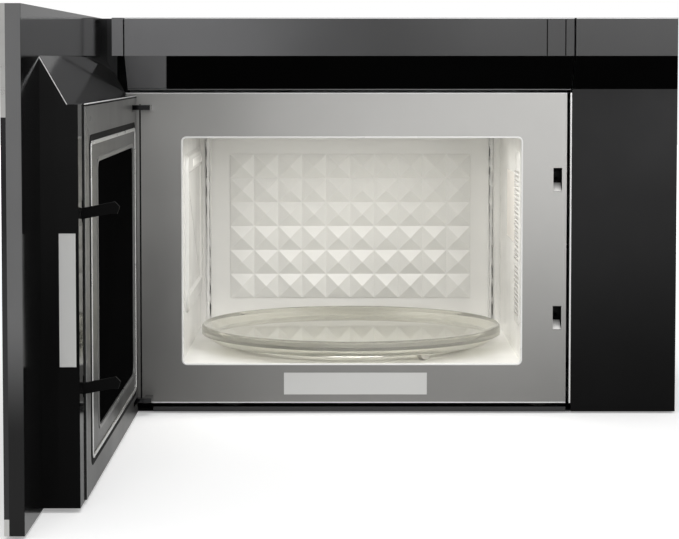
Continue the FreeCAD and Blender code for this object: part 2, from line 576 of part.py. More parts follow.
def door():
    """The door, drawn closed and then swung open piece by piece."""
    strip = DOOR_HIGH + " - top_strip_height"
    foot = DOOR_LOW + " + bottom_strip_height"
    front = (DOOR_FACE, GLASS_BACK)
    for name, low, high in (("door_top_strip", strip, DOOR_HIGH), ("door_glass", foot, strip),
                            ("door_bottom_strip", DOOR_LOW, foot)):
        swing(group(name, block(name + "_slab", (DOOR_LEFT, front[0], low), (DOOR_RIGHT, front[1], high))))

    window = ((LINER_LEFT + " + window_hinge_margin", LINER_LOW + " + window_foot_margin"),
              (CHOKE_RIGHT + " - window_free_margin", CHOKE_HIGH + " - window_head_margin"))

    def pane(name, near, far, grow):
        low = ("%s - %s" % (window[0][0], grow), near, "%s - %s" % (window[0][1], grow))
        high = ("%s + %s" % (window[1][0], grow), far, "%s + %s" % (window[1][1], grow))
        return block(name, low, high)

    frame = block("frame_blank", (DOOR_LEFT, GLASS_BACK, DOOR_LOW), (DOOR_RIGHT, DOOR_BACK, DOOR_HIGH))
    swing(cut("door_frame", frame, pane("frame_window", GLASS_BACK + " - 1", DOOR_BACK + " + 1",
                                        "window_step")))

    outline = [(DOOR_BACK, LINER_LOW), (LINER_FACE, LINER_LOW), (LINER_FACE, CHOKE_HIGH),
               (LINER_FACE + " - liner_slope_land", CHOKE_HIGH), (DOOR_BACK, LINER_HIGH)]
    wall = "liner_wall"
    hollow = [(DOOR_BACK + " - 1", "%s + %s" % (LINER_LOW, wall)),
              (LINER_FACE + " + 1", "%s + %s" % (LINER_LOW, wall)),
              (LINER_FACE + " + 1", "%s - %s" % (CHOKE_HIGH, wall)),
              (LINER_FACE + " - liner_slope_land - %s" % wall, "%s - %s" % (CHOKE_HIGH, wall)),
              (DOOR_BACK + " - 1", "%s - 3 * %s" % (LINER_HIGH, wall))]
    liner = profile("liner_outside", "YZ", outline, LINER_WIDTH, LINER_LEFT)
    behind_plate = profile("liner_inside", "YZ", hollow,
                           "%s - %s - 2 * liner_wall" % (CHOKE_RIGHT, LINER_LEFT),
                           LINER_LEFT + " + liner_wall")
    latch_room = block("liner_latch_room", (CHOKE_RIGHT + " - liner_wall - 1", DOOR_BACK + " - 1",
                                            "%s + %s" % (LINER_LOW, wall)),
                       (LINER_RIGHT + " - liner_wall", LINER_FACE + " - liner_wall",
                        "%s - %s" % (CHOKE_HIGH, wall)))
    notches = []
    for name, middle in hinge_middles():
        notches.append(notch(name, middle))
    swing(cut("door_liner", liner, behind_plate, latch_room, *notches, *latch()))

    face = block("choke_blank", (LINER_LEFT, LINER_FACE, LINER_LOW), (CHOKE_RIGHT, CHOKE_FACE, CHOKE_HIGH))
    spare = [notch(name + "_choke", middle) for name, middle in hinge_middles()]
    swing(cut("choke_plate", face, pane("choke_window", LINER_FACE + " - 1", CHOKE_FACE + " + 1", "0"),
              *spare))
    swing(group("inner_window", pane("inner_pane", LINER_FACE + " - window_glass", LINER_FACE,
                                     "window_step")))
    swing(group("door_screen", pane("screen_sheet", GLASS_BACK, GLASS_BACK + " + screen_steel",
                                    "window_step")))


def notch(name, middle):
    """The way through the liner's corner for a hinge arm, over its whole swing."""
    half = "(hinge_arm_steel / 2 + hinge_leaf_gap)"
    return block("notch_" + name, (LINER_LEFT + " - 1", HINGE_Y + " - hinge_boss_radius - 1",
                                   "%s - %s" % (middle, half)),
                 (HINGE_X + " + arm_reach + notch_room", CHOKE_FACE + " + 1", "%s + %s" % (middle, half)))


def latch():
    """Hook carrier in the liner, its spring, and the switches that the hooks reach."""
    root = "(%s - hook_root)" % LINER_FACE
    tip = "(%s + hook_reach)" % PLATE_Y
    near = "(%s - hook_width / 2)" % SLOT_X
    pieces, ways, switches = [], [], []
    for index, side in enumerate((-1, 1)):
        middle = "(%s + %d * slot_spacing / 2)" % (SLOT_MIDDLE, side)
        hook = [(root, middle + " - hook_height"), (root, middle),
                (tip + " - hook_barb", middle + " + hook_rise"), (tip, middle + " + hook_rise - hook_barb"),
                (tip + " - hook_barb / 2", middle + " - hook_barb / 2"),
                (tip + " - 2 * hook_barb", middle + " - hook_barb / 2")]
        pieces.append(profile("hook_%d" % index, "YZ", hook, "hook_width", near))
        ways.append(block("hook_way%d" % index,
                          (near + " - 1", "%s - liner_wall - 1" % LINER_FACE, middle + " - hook_height"),
                          (near + " + hook_width + 1", LINER_FACE + " + 1",
                           middle + " + hook_barb + latch_travel + 1")))
        switch = "(%s + plunger_gap + plunger_length)" % tip
        body = block("switch_body%d" % index, (near, switch, middle + " - switch_height / 2"),
                     (near + " + switch_depth", switch + " + switch_width", middle + " + switch_height / 2"))
        bore = rod("switch_bore%d" % index, (SLOT_X + " + 1", switch + " - 1", middle),
                   "plunger_radius + axle_clearance", "plunger_seat + plunger_travel + 2", "Y")
        switches.append(cut("switch_%d" % index, body, bore))
        rod(("plunger_lower", "plunger_upper")[index], (SLOT_X + " + 1", "%s - plunger_length" % switch,
                                                        middle),
            "plunger_radius", "plunger_length + plunger_seat", "Y")
    low = "(%s + liner_wall + spring_length)" % LINER_LOW
    pieces.append(block("carrier_bar", (SLOT_X + " - carrier_width / 2", root, low),
                        (SLOT_X + " + carrier_width / 2", root + " + carrier_depth",
                         "%s + slot_spacing / 2" % SLOT_MIDDLE)))
    swing(join("latch_carrier", *pieces))
    spot = (SLOT_X, root + " + carrier_depth / 2", "%s + liner_wall" % LINER_LOW)
    coil = rod("spring_outside", spot, "spring_radius", "spring_length")
    core = rod("spring_inside", spot[:2] + (spot[2] + " - 1",), "spring_radius - 1", "spring_length + 2")
    swing(cut("latch_spring", coil, core))
    group("microswitches", *switches)
    edge = near + " + switch_depth"
    block("interlock_bracket", (edge, PLATE_BACK, "%s - slot_spacing / 2 - slot_height" % SLOT_MIDDLE),
                (edge + " + bracket_steel", "%s + plunger_gap + plunger_length + switch_width" % tip,
                 "%s + slot_spacing / 2 + slot_height" % SLOT_MIDDLE))
    return ways


def panel_in_door():
    """Control board on the frame inside the liner, and the label on the liner's end."""
    right = "(%s - liner_wall - 4)" % LINER_RIGHT
    low = "(%s - door_board_height / 2)" % SLOT_MIDDLE
    swing(group("control_board", block("control_slab", (right + " - door_board_width", DOOR_BACK, low),
                                       (right, DOOR_BACK + " + board_thickness",
                                        low + " + door_board_height"))))
    across = "(%s - door_label_inset)" % LINER_FACE
    upward = "(%s + door_label_rise)" % SLOT_MIDDLE
    swing(group("door_label", block("label_slab", (LINER_RIGHT, across + " - door_label_width / 2",
                                                   upward + " - door_label_height / 2"),
                                    (LINER_RIGHT + " + label_thickness", across + " + door_label_width / 2",
                                     upward + " + door_label_height / 2"))))


def power_parts():
    """What makes the microwaves, in the bay behind the right panel."""
    wall = "(%s + steel)" % WALL_RIGHT
    far = "(%s + waveguide_width)" % wall
    guide = block("guide_outside", (wall, TURN_Y + " - waveguide_length / 2", "-waveguide_height / 2"),
                  (far, TURN_Y + " + waveguide_length / 2", "waveguide_height / 2"))
    hollow = block("guide_inside", (wall + " - 1", TURN_Y + " - waveguide_length / 2 + steel",
                                    "-waveguide_height / 2 + steel"),
                   (far + " - steel", TURN_Y + " + waveguide_length / 2 - steel",
                    "waveguide_height / 2 - steel"))
    port = rod("guide_port", (far + " - through", TURN_Y, "0"), "antenna_radius + hinge_clearance",
               "2 * through", "X")
    cut("waveguide", guide, hollow, port)

    antenna = rod("antenna", (far + " - antenna_length", TURN_Y, "0"), "antenna_radius",
                  "antenna_length + 1", "X")
    yoke = block("yoke_outside", (far, TURN_Y + " - magnetron_depth / 2", "-magnetron_height / 2"),
                 (far + " + magnetron_width", TURN_Y + " + magnetron_depth / 2", "magnetron_height / 2"))
    tunnel = block("yoke_inside", (far + " + yoke_steel", TURN_Y + " - magnetron_depth / 2 - 1",
                                   "-magnetron_height / 2 + yoke_steel"),
                   (far + " + magnetron_width - yoke_steel", TURN_Y + " + magnetron_depth / 2 + 1",
                    "magnetron_height / 2 - yoke_steel"))
    anode = rod("anode", (far, TURN_Y, "0"), "anode_radius", "magnetron_width", "X")
    fins = []
    for index in range(MAGNETRON_FINS):
        start = "%s + magnetron_width * %d / %d" % (far, index + 1, MAGNETRON_FINS + 1)
        fins.append(block("magnetron_fin%d" % index,
                          (start, TURN_Y + " - magnetron_depth / 2 + 4", "-magnetron_height / 2"),
                          (start + " + steel", TURN_Y + " + magnetron_depth / 2 - 4",
                           "magnetron_height / 2")))
    join("magnetron", cut("magnetron_yoke", yoke, tunnel), antenna, anode, *fins)

    base = "(%s + steel)" % BOTTOM
    edge = "(%s - steel - bay_gap)" % SIDE
    front = "(%s + right_panel_sheet + core_setback)" % PLATE_Y
    core = block("core", (edge + " - transformer_width", front, base),
                 (edge, front + " + transformer_depth", base + " + transformer_height"))
    winding = block("winding", (edge + " - transformer_width + winding_overhang", front + " - winding_reach",
                                base + " + winding_overhang"),
                    (edge + " - winding_overhang", front + " + transformer_depth + winding_reach",
                     base + " + transformer_height - winding_overhang"))
    join("transformer", core, winding)
    spot = "(%s + transformer_depth + winding_reach + core_setback)" % front
    can = block("can", (edge + " - capacitor_width", spot, base),
                (edge, spot + " + capacitor_depth", base + " + capacitor_height"))
    terminals = [block("terminal%d" % side, ("%s - capacitor_width / 2 + %d * terminal_offset - 1" % (edge,
                                                                                                      side),
                                             spot + " + capacitor_depth / 2 - 3",
                                             base + " + capacitor_height - 1"),
                       ("%s - capacitor_width / 2 + %d * terminal_offset + 1" % (edge, side),
                        spot + " + capacitor_depth / 2 + 3", base + " + capacitor_height + 8"))
                 for side in (-1, 1)]
    join("capacitor", can, *terminals)

    high = "(board_rise + board_height)"
    slab = block("filter_slab", ("%s - board_width" % edge, "-steel - board_standoff - board_thickness",
                                 "board_rise"),
                 (edge, "-steel - board_standoff", high))
    posts = []
    for index in range(4):
        x = "%s - post_inset - %d * (board_width - 2 * post_inset)" % (edge, index % 2)
        z = "board_rise + post_inset + %d * (board_height - 2 * post_inset)" % (index // 2)
        posts.append(rod("board_post%d" % index, (x, "-steel - board_standoff - board_thickness", z), "2.5",
                         "board_standoff + board_thickness", "Y"))
    choke = rod("board_choke",
                (edge + " - board_width / 2", "-steel - board_standoff - board_thickness - toroid_height",
                                "board_rise + board_height / 2"), "toroid_radius", "toroid_height + 1", "Y")
    join("noise_filter", slab, choke, *posts)


def cooling_fan():
    """Axial fan behind the magnetron: shroud on a foot, motor, and bladed wheel."""
    x = "(%s + steel + waveguide_width + magnetron_width / 2)" % WALL_RIGHT
    near = "(%s + magnetron_depth / 2 + fan_standoff)" % TURN_Y
    half = "(fan_radius + fan_clearance + 3)"
    frame = block("shroud_blank", ("%s - %s" % (x, half), near, BOTTOM + " + steel"),
                  ("%s + %s" % (x, half), near + " + fan_shroud_depth", half))
    hole = rod("shroud_hole", (x, near + " - 1", "0"), "fan_radius + fan_clearance",
               "fan_shroud_depth + 2", "Y")
    slot = block("shroud_window", ("%s - %s + 8" % (x, half), near + " - 1", BOTTOM + " + steel + 8"),
                 ("%s + %s - 8" % (x, half), near + " + fan_shroud_depth + 1", "-%s - 2" % half))
    strut = block("shroud_strut", ("%s - %s" % (x, half), near + " + fan_shroud_depth", "-strut_width / 2"),
                  ("%s + %s" % (x, half), near + " + fan_shroud_depth + strut_depth", "strut_width / 2"))
    passage = rod("strut_hole", (x, near, "0"), "shaft_radius + 1", "fan_shroud_depth + strut_depth + 2", "Y")
    cut("fan_shroud", join("shroud_solid", cut("shroud_ring", frame, hole, slot), strut), passage)
    behind = "(%s + fan_shroud_depth + strut_depth)" % near
    can = rod("fan_can", (x, behind, "0"), "fan_motor_radius", "fan_motor_depth", "Y")
    bore = rod("fan_can_bore", (x, behind + " - 1", "0"), "shaft_radius - 1 + axle_clearance",
               "fan_motor_depth / 2 + 1", "Y")
    cut("fan_motor", can, bore)
    hub = rod("fan_hub", (x, near + " + 3", "0"), "fan_hub_radius", "fan_shroud_depth - 6", "Y")
    shaft = rod("fan_shaft", (x, near + " + 4", "0"), "shaft_radius - 1",
                "fan_shroud_depth + strut_depth - 4 + fan_motor_depth / 2 - 1", "Y")
    blades = []
    for index in range(int(size("fan_blades"))):
        blade = doc.addObject("Part::Box", "fan_blade%d" % index)
        bind(blade, "Length", "fan_radius - fan_hub_radius + blade_root")
        bind(blade, "Width", "blade_thickness")
        bind(blade, "Height", "fan_shroud_depth - 2")
        angle = size("first_blade_angle") + 360.0 * index / size("fan_blades")
        about = FreeCAD.Rotation(FreeCAD.Vector(0, 1, 0), angle)
        pitch = FreeCAD.Rotation(FreeCAD.Vector(1, 0, 0), size("blade_pitch"))
        blade.Placement = FreeCAD.Placement(FreeCAD.Vector(), about * pitch)
        place(blade, ("%s + (fan_hub_radius - blade_root) * cos(%f)" % (x, angle),
                      near + " + fan_shroud_depth - 4",
                      "-(fan_hub_radius - blade_root) * sin(%f)" % angle))
        blades.append(blade)
    join("fan_wheel", hub, shaft, *blades)


def hood():
    """Blower, its motor and wheels, exhaust adapter with its flap, filters and lamps."""
    y = "(-duct_setback)"
    roof = "(%s - steel - duct_height)" % TOP
    half = "(blower_radius + blower_clearance + blower_housing_wall)"
    z = "(%s - %s)" % (roof, half)
    end = "(blower_motor_width / 2 + blower_width + blower_clearance + blower_housing_wall)"
    wall = "blower_housing_wall"
    outside = block("housing_outside", ("-" + end, "%s - %s" % (y, half), "%s - %s" % (z, half)),
                    (end, "%s + %s" % (y, half), roof))
    inside = block("housing_inside", ("-%s + %s" % (end, wall), "%s - %s + %s" % (y, half, wall),
                                      "%s - %s + %s" % (z, half, wall)),
                   ("%s - %s" % (end, wall), "%s + %s - %s" % (y, half, wall), "%s - %s" % (roof, wall)))
    vent = block("housing_outlet", ("-%s + vent_end" % end, "%s - duct_depth / 2 + vent_side" % y,
                                    roof + " - through"),
                 ("%s - vent_end" % end, "%s + duct_depth / 2 - vent_side" % y, roof + " + through"))
    inlet = rod("housing_inlets", ("-%s - 1" % end, y, z), "blower_radius - vane_depth",
                "2 * %s + 2" % end, "X")
    cut("blower_housing", outside, inside, vent, inlet)
    can = rod("blower_can", ("-blower_motor_width / 2", y, z), "blower_motor_radius", "blower_motor_width",
              "X")
    foot = block("blower_foot", ("-blower_motor_width / 4", "%s - foot_depth / 2" % y,
                                 "%s - %s + %s" % (z, half, wall)),
                 ("blower_motor_width / 4", "%s + foot_depth / 2" % y, z))
    bore = rod("blower_can_bore", ("-blower_motor_width", y, z), "blower_shaft_radius + axle_clearance",
               "2 * blower_motor_width", "X")
    cut("blower_motor", join("blower_motor_solid", can, foot), bore)
    axle = rod("blower_axle", ("-blower_motor_width / 2 - blower_width", y, z), "blower_shaft_radius",
               "blower_motor_width + 2 * blower_width", "X")
    pieces = [axle]
    for side, name in ((-1, "left"), (1, "right")):
        start = "(%d * (blower_motor_width / 2 + blower_gap + blower_width / 2) - blower_width / 2)" % side
        near = start if side > 0 else "(%s + blower_width - hub_plate)" % start
        pieces.append(rod("wheel_plate_" + name, (near, y, z), "blower_radius", "hub_plate", "X"))
        far = "(%s + blower_width - hub_plate)" % start if side > 0 else start
        rim = rod("wheel_rim_" + name, (far, y, z), "blower_radius", "hub_plate", "X")
        eye = rod("wheel_eye_" + name, (far + " - 1", y, z), "blower_radius - vane_depth", "hub_plate + 2",
                  "X")
        pieces.append(cut("wheel_ring_" + name, rim, eye))
        for index in range(BLOWER_VANES):
            angle = 360.0 * index / BLOWER_VANES
            vane = doc.addObject("Part::Box", "vane_%s%d" % (name, index))
            bind(vane, "Length", "blower_width")
            bind(vane, "Width", "vane_depth - 1")
            bind(vane, "Height", "vane_thickness")
            vane.Placement = FreeCAD.Placement(FreeCAD.Vector(),
                                               FreeCAD.Rotation(FreeCAD.Vector(1, 0, 0), angle))
            place(vane, (start, "%s + (blower_radius - vane_depth + 0.5) * cos(%f)" % (y, angle),
                         "%s + (blower_radius - vane_depth + 0.5) * sin(%f)" % (z, angle)))
            pieces.append(vane)
    join("blower_wheels", *pieces)

    top = TOP + " - steel"
    low, high = ("-duct_width / 2", "%s - duct_depth / 2" % y), ("duct_width / 2", "%s + duct_depth / 2" % y)
    sleeve = block("sleeve_outside", (low[0] + " - duct_wall", low[1] + " - duct_wall", roof),
                   (high[0] + " + duct_wall", high[1] + " + duct_wall", top))
    bore = block("sleeve_inside", low + (roof + " - 1",), high + (top + " + 1",))
    pivot = "(%s + duct_height / 2)" % roof
    back = "(%s - flap_inset)" % high[1]
    holes = rod("sleeve_pivots", (low[0] + " - through", back, pivot), "flap_pin_radius + axle_clearance",
                "duct_width + 2 * through", "X")
    cut("exhaust_adapter", sleeve, bore, holes)
    leaf = block("flap_leaf", (low[0] + " + flap_gap", low[1] + " + flap_gap",
                               pivot + " - flap_thickness / 2"),
                 (high[0] + " - flap_gap", back, pivot + " + flap_thickness / 2"))
    pin = rod("flap_pin", (low[0] + " - duct_wall", back, pivot), "flap_pin_radius",
              "duct_width + 2 * duct_wall", "X")
    join("damper_flap", leaf, pin)

    base = "(%s + steel)" % BOTTOM
    lamps, lenses = [], []
    for index, side in enumerate((-1, 1)):
        middle = "(%d * (case_width / 2 - filter_end))" % side
        name = ("grease_filter_left", "grease_filter_right")[index]
        block(name, ("%s - filter_width / 2 + filter_gap" % middle,
                     "-filter_setback - filter_depth / 2 + filter_gap",
                     BOTTOM),
              ("%s + filter_width / 2 - filter_gap" % middle,
               "-filter_setback + filter_depth / 2 - filter_gap",
               BOTTOM + " + filter_thickness"))
        spot = ("%d * lamp_spacing / 2" % side, "%s + lamp_setback" % PLATE_Y)
        lenses.append(rod("lens%d" % index, spot + (base,), "lamp_radius + 4", "lens_thickness"))
        socket = rod("socket%d" % index, spot + (base + " + lens_thickness",), "lamp_radius", "socket_height")
        bulb = rod("bulb%d" % index, spot + (base + " + lens_thickness + socket_height - 1",), "bulb_radius",
                   "bulb_length")
        lamps.append(join("cooktop_lamp%d" % index, socket, bulb))
    group("cooktop_lamps", *lamps)
    group("lamp_lenses", *lenses)
    block("charcoal_filter", ("-charcoal_width / 2", "%s + case_front_setback + 4" % PLATE_Y,
                              top + " - charcoal_thickness"),
          ("charcoal_width / 2", "%s + case_front_setback + 4 + charcoal_depth" % PLATE_Y, top))
    wall = "(%s - steel)" % WALL_LEFT
    spot = "(%s + oven_lamp_setback)" % TURN_Y
    holder = block("lamp_holder", (wall + " - lamp_holder_depth", spot, "oven_lamp_rise"),
                   (wall, spot + " + lamp_holder_width", "oven_lamp_rise + lamp_holder_width"))
    globe = rod("lamp_globe", (wall + " - lamp_holder_depth - globe_length",
                               spot + " + lamp_holder_width / 2",
                               "oven_lamp_rise + lamp_holder_width / 2"), "globe_radius",
                               "globe_length + 1", "X")
    join("cavity_lamp", holder, globe)


def fixings():
    """Screws through the wrapper's sides, and the gland for the supply lead."""
    screws = []
    for side in (-1, 1):
        for index in range(3):
            spot = ("%d * case_width / 2" % side, "-screw_setback - %d * screw_pitch" % index,
                    "%d * screw_rise" % (index - 1))
            head = (spot[0] if side > 0 else spot[0] + " - screw_head_height",) + spot[1:]
            screws.append(rod("screw_%d_%d" % (side + 1, index), head, "screw_head_radius",
                              "screw_head_height", "X"))
    group("case_screws", *screws)
    centre = ("%s - gland_inset" % SIDE, "-gland_length", TOP + " - gland_inset")
    sleeve = rod("gland_outside", centre, "gland_radius", "gland_length", "Y")
    bore = rod("gland_inside", (centre[0], centre[1] + " - 1", centre[2]), "gland_radius - gland_wall",
               "gland_length + 2", "Y")
    cut("cord_gland", sleeve, bore)


NODES = """outer_wrapper rear_panel base_plate cavity_shell embossed_back_wall front_plate rating_label
waveguide_cover top_fascia fascia_left_cap fascia_right_cap right_panel panel_trim turntable_motor drive_coupler
roller_ring roller_front roller_right roller_left glass_tray hinge_arms hinge_pins hinge_leaves door_top_strip
door_glass door_bottom_strip door_frame door_liner choke_plate inner_window door_screen latch_carrier
latch_spring control_board door_label microswitches plunger_lower plunger_upper interlock_bracket waveguide
magnetron transformer capacitor noise_filter fan_shroud fan_motor fan_wheel blower_housing blower_motor
blower_wheels exhaust_adapter damper_flap grease_filter_left grease_filter_right cooktop_lamps lamp_lenses
charcoal_filter cavity_lamp case_screws cord_gland""".split()

cabinet_shell()
oven()
studded_wall()
turntable()
front_trim()
hinges()
door()
panel_in_door()
power_parts()
cooling_fan()
hood()
fixings()
doc.recompute()

for obj in doc.Objects:
    if "Invalid" in obj.State or "Error" in obj.State:
        raise RuntimeError("%s did not build: %s" % (obj.Name, obj.State))
os.makedirs("parts", exist_ok=True)
for name in NODES:
    piece = doc.getObject(name)
    piece.Label = name
    if piece.Shape.isNull() or not piece.Shape.isValid():
        raise RuntimeError("%s has no sound shape" % name)
    piece.Shape.exportStep("parts/%s.step" % name)
    print("%-22s %d solid(s) %12.1f mm3" % (name, len(piece.Shape.Solids), piece.Shape.Volume))
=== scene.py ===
# %% [markdown]
# # An over the range microwave, dressed around its CAD frame
# The CAD model gives every piece its size, place and motion.  This file adds
# what a maker would call the dress: the finishes on the pieces, and the small
# shapes, such as pressed beads and vent holes, that the frame leaves plain.
# One unit is a metre.  +X is to the right, +Y goes towards the wall, +Z is up.

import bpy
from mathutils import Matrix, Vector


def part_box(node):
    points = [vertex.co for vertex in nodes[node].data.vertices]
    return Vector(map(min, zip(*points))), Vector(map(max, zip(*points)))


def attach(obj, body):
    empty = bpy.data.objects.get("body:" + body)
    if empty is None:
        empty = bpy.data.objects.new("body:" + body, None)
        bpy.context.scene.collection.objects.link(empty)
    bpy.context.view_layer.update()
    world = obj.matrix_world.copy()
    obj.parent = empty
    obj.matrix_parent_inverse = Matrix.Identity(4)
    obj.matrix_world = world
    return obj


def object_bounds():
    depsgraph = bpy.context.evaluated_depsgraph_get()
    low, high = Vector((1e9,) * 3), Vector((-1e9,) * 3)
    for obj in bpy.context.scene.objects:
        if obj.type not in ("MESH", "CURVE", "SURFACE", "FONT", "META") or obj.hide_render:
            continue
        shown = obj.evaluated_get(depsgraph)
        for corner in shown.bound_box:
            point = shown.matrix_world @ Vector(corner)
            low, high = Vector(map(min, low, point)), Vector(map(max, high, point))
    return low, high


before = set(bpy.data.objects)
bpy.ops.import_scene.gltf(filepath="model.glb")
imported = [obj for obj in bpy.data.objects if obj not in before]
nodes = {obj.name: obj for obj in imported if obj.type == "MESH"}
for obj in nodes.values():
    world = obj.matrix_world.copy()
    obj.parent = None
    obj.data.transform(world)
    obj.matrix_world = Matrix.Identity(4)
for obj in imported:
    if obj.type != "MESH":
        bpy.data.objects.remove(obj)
cad_low, cad_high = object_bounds()
print("CAD box", [round(v, 4) for v in cad_low], [round(v, 4) for v in cad_high])

# %% Other modules
import math
import bpy
import bmesh
from mathutils import Matrix, Vector

MM = 0.001
bpy.ops.object.select_all(action="DESELECT")

# %% [markdown]
# ## Finishes
# A real surface is never one flat colour: paint has orange peel, sheet steel
# has grain, and glass holds a film of dust.  Each finish here starts with one
# shader and gets its variation from noise that is read in object coordinates,
# so that the pattern keeps its size in millimetres and stays on the piece when
# it moves.  A picture would need to be kept beside the file, and nodes don't.

# %% The helpers that every finish is made with
NOISE_LOW, NOISE_HIGH = 0.3, 0.7    # nearly all values of a noise lie between these


def new_finish(name, colour, roughness, metallic=0.0):
    material = bpy.data.materials.new(name)
    material.use_nodes = True
    shader = material.node_tree.nodes["Principled BSDF"]
    shader.inputs["Base Color"].default_value = (*colour, 1)
    shader.inputs["Roughness"].default_value = roughness
    shader.inputs["Metallic"].default_value = metallic
    material.diffuse_color = (*colour, 1)
    return material, material.node_tree, shader


def pattern_space(tree, stretch=(1, 1, 1)):
    """Object coordinates, stretched along the axes that the grain runs along."""
    place = tree.nodes.new("ShaderNodeTexCoord")
    mapping = tree.nodes.new("ShaderNodeMapping")
    mapping.inputs["Scale"].default_value = stretch
    tree.links.new(place.outputs["Object"], mapping.inputs["Vector"])
    return mapping.outputs["Vector"]


def noise_in(tree, space, scale, detail=3.0):
    noise = tree.nodes.new("ShaderNodeTexNoise")
    noise.inputs["Scale"].default_value = scale
    noise.inputs["Detail"].default_value = detail
    tree.links.new(space, noise.inputs["Vector"])
    return noise.outputs["Fac"]


def ramp_between(tree, factor, dark, light, low=NOISE_LOW, high=NOISE_HIGH):
    """Dark where the factor is low, light where it is high."""
    ramp = tree.nodes.new("ShaderNodeValToRGB")
    first, last = ramp.color_ramp.elements
    first.position, last.position = low, high
    first.color, last.color = (*dark, 1), (*light, 1)
    tree.links.new(factor, ramp.inputs["Fac"])
    return ramp.outputs["Color"]


def spread(tree, factor, low, high):
    """Stretch a noise over a range of values, such as of roughness."""
    span = tree.nodes.new("ShaderNodeMapRange")
    span.inputs["From Min"].default_value = NOISE_LOW
    span.inputs["From Max"].default_value = NOISE_HIGH
    span.inputs["To Min"].default_value = low
    span.inputs["To Max"].default_value = high
    tree.links.new(factor, span.inputs["Value"])
    return span.outputs["Result"]


def dimple(tree, shader, height, depth):
    """Let a pattern stand out of the surface by a depth in metres."""
    bump = tree.nodes.new("ShaderNodeBump")
    bump.inputs["Strength"].default_value = 1.0
    bump.inputs["Distance"].default_value = depth
    tree.links.new(height, bump.inputs["Height"])
    tree.links.new(bump.outputs["Normal"], shader.inputs["Normal"])


def fading(tree, space, colours, axis, start, end, amounts):
    """Multiply a colour by an amount that changes slowly along one axis of the piece."""
    split = tree.nodes.new("ShaderNodeSeparateXYZ")
    tree.links.new(space, split.inputs["Vector"])
    span = tree.nodes.new("ShaderNodeMapRange")
    span.interpolation_type = "SMOOTHSTEP"
    span.inputs["From Min"].default_value = start
    span.inputs["From Max"].default_value = end
    span.inputs["To Min"].default_value = amounts[0]
    span.inputs["To Max"].default_value = amounts[1]
    tree.links.new(split.outputs[axis], span.inputs["Value"])
    scaled = tree.nodes.new("ShaderNodeVectorMath")
    scaled.operation = "SCALE"
    tree.links.new(colours, scaled.inputs[0])
    tree.links.new(span.outputs["Result"], scaled.inputs["Scale"])
    return scaled.outputs["Vector"]


def shade_of(colour, amount):
    return tuple(min(1.0, max(0.0, channel * amount)) for channel in colour)


print("finish helpers ready")

# %% [markdown]
# Painted, moulded and rolled surfaces share one recipe: a slow noise for the
# tint and the gloss, and a fine one for the grain that stands out of the
# surface.  What differs is how strong each is and which way the grain runs.
# A fade gives a large surface the slow change of tone that soft light leaves
# on it, from one end of an axis to the other.

# %% One recipe for paint, plastic and sheet metal
TINT_WAVES = 9.0
GRAIN_DETAIL = 2.0


def coated(name, colour, roughness, metallic=0.0, tint=0.06, grain=900.0, relief=0.01,
           stretch=(1, 1, 1), polish=0.04, specular=0.5, fades=()):
    """Tint is the share that the tone varies by, relief the grain's depth in millimetres."""
    material, tree, shader = new_finish(name, colour, roughness, metallic)
    shader.inputs["Specular IOR Level"].default_value = specular
    space = pattern_space(tree, stretch)
    slow = noise_in(tree, space, TINT_WAVES)
    fine = noise_in(tree, space, grain, GRAIN_DETAIL)
    colours = ramp_between(tree, slow, shade_of(colour, 1 - tint), shade_of(colour, 1 + tint))
    for fade in fades:
        colours = fading(tree, space, colours, *fade)
    tree.links.new(colours, shader.inputs["Base Color"])
    tree.links.new(spread(tree, slow, roughness - polish, roughness + polish), shader.inputs["Roughness"])
    dimple(tree, shader, fine, relief * MM)
    return material


# The numbers after each colour are roughness, metallic, tint, grain and relief.
case_paint = coated("case_paint", (0.012, 0.012, 0.013), 0.38, relief=0.03, grain=1400)
# painted shade and reflection: the front plate is darker towards its foot and towards the hinge side, where
# the open door stands
plate_paint = coated("plate_paint", (0.46, 0.455, 0.44), 0.34, 0.75, 0.03, 1600, 0.008,
                     fades=(("Z", -0.205, 0.06, (0.54, 1.03)), ("X", -0.25, -0.06, (0.70, 1.0))))
# painted light and shade: the enamel is brighter on the cavity's floor, right wall and ceiling, where the oven
# lamp lights them, and darker on the left wall
cavity_enamel = coated("cavity_enamel", (0.80, 0.795, 0.775), 0.22, 0.0, 0.02, 60, 0.02,
                       fades=(("Z", -0.165, -0.10, (1.17, 1.0)), ("X", 0.10, 0.14, (1.0, 1.16)),
                              ("X", -0.215, -0.195, (0.86, 1.0)), ("Z", 0.07, 0.084, (1.0, 1.2))))
choke_paint = coated("choke_paint", (0.066, 0.066, 0.064), 0.30, 0.5, 0.04, 1500, 0.008, specular=0.10)
# painted light and reflection: the fascia is lighter at its left end and darker towards the right
fascia_black = coated("fascia_black", (0.040, 0.040, 0.041), 0.22, 0.0, 0.05, 40, 0.004,
                      fades=(("X", -0.22, 0.02, (3.6, 0.62)),))
# painted shade: the soffit's skin is a dead black without gloss, darker than the fascia, for the shade under
# the downward slope
soffit_painted_shade = coated("soffit_painted_shade", (0.002, 0.002, 0.002), 0.30, 0.0, 0.1, 40, 0.004, specular=0.0)
# painted reflection: the right panel's gloss black is lighter at its head and darker towards its foot
gloss_black = coated("gloss_black", (0.034, 0.034, 0.0345), 0.12, 0.0, 0.1, 30, 0.004, specular=0.08,
                     fades=(("Z", -0.20, 0.19, (0.10, 1.12)),))
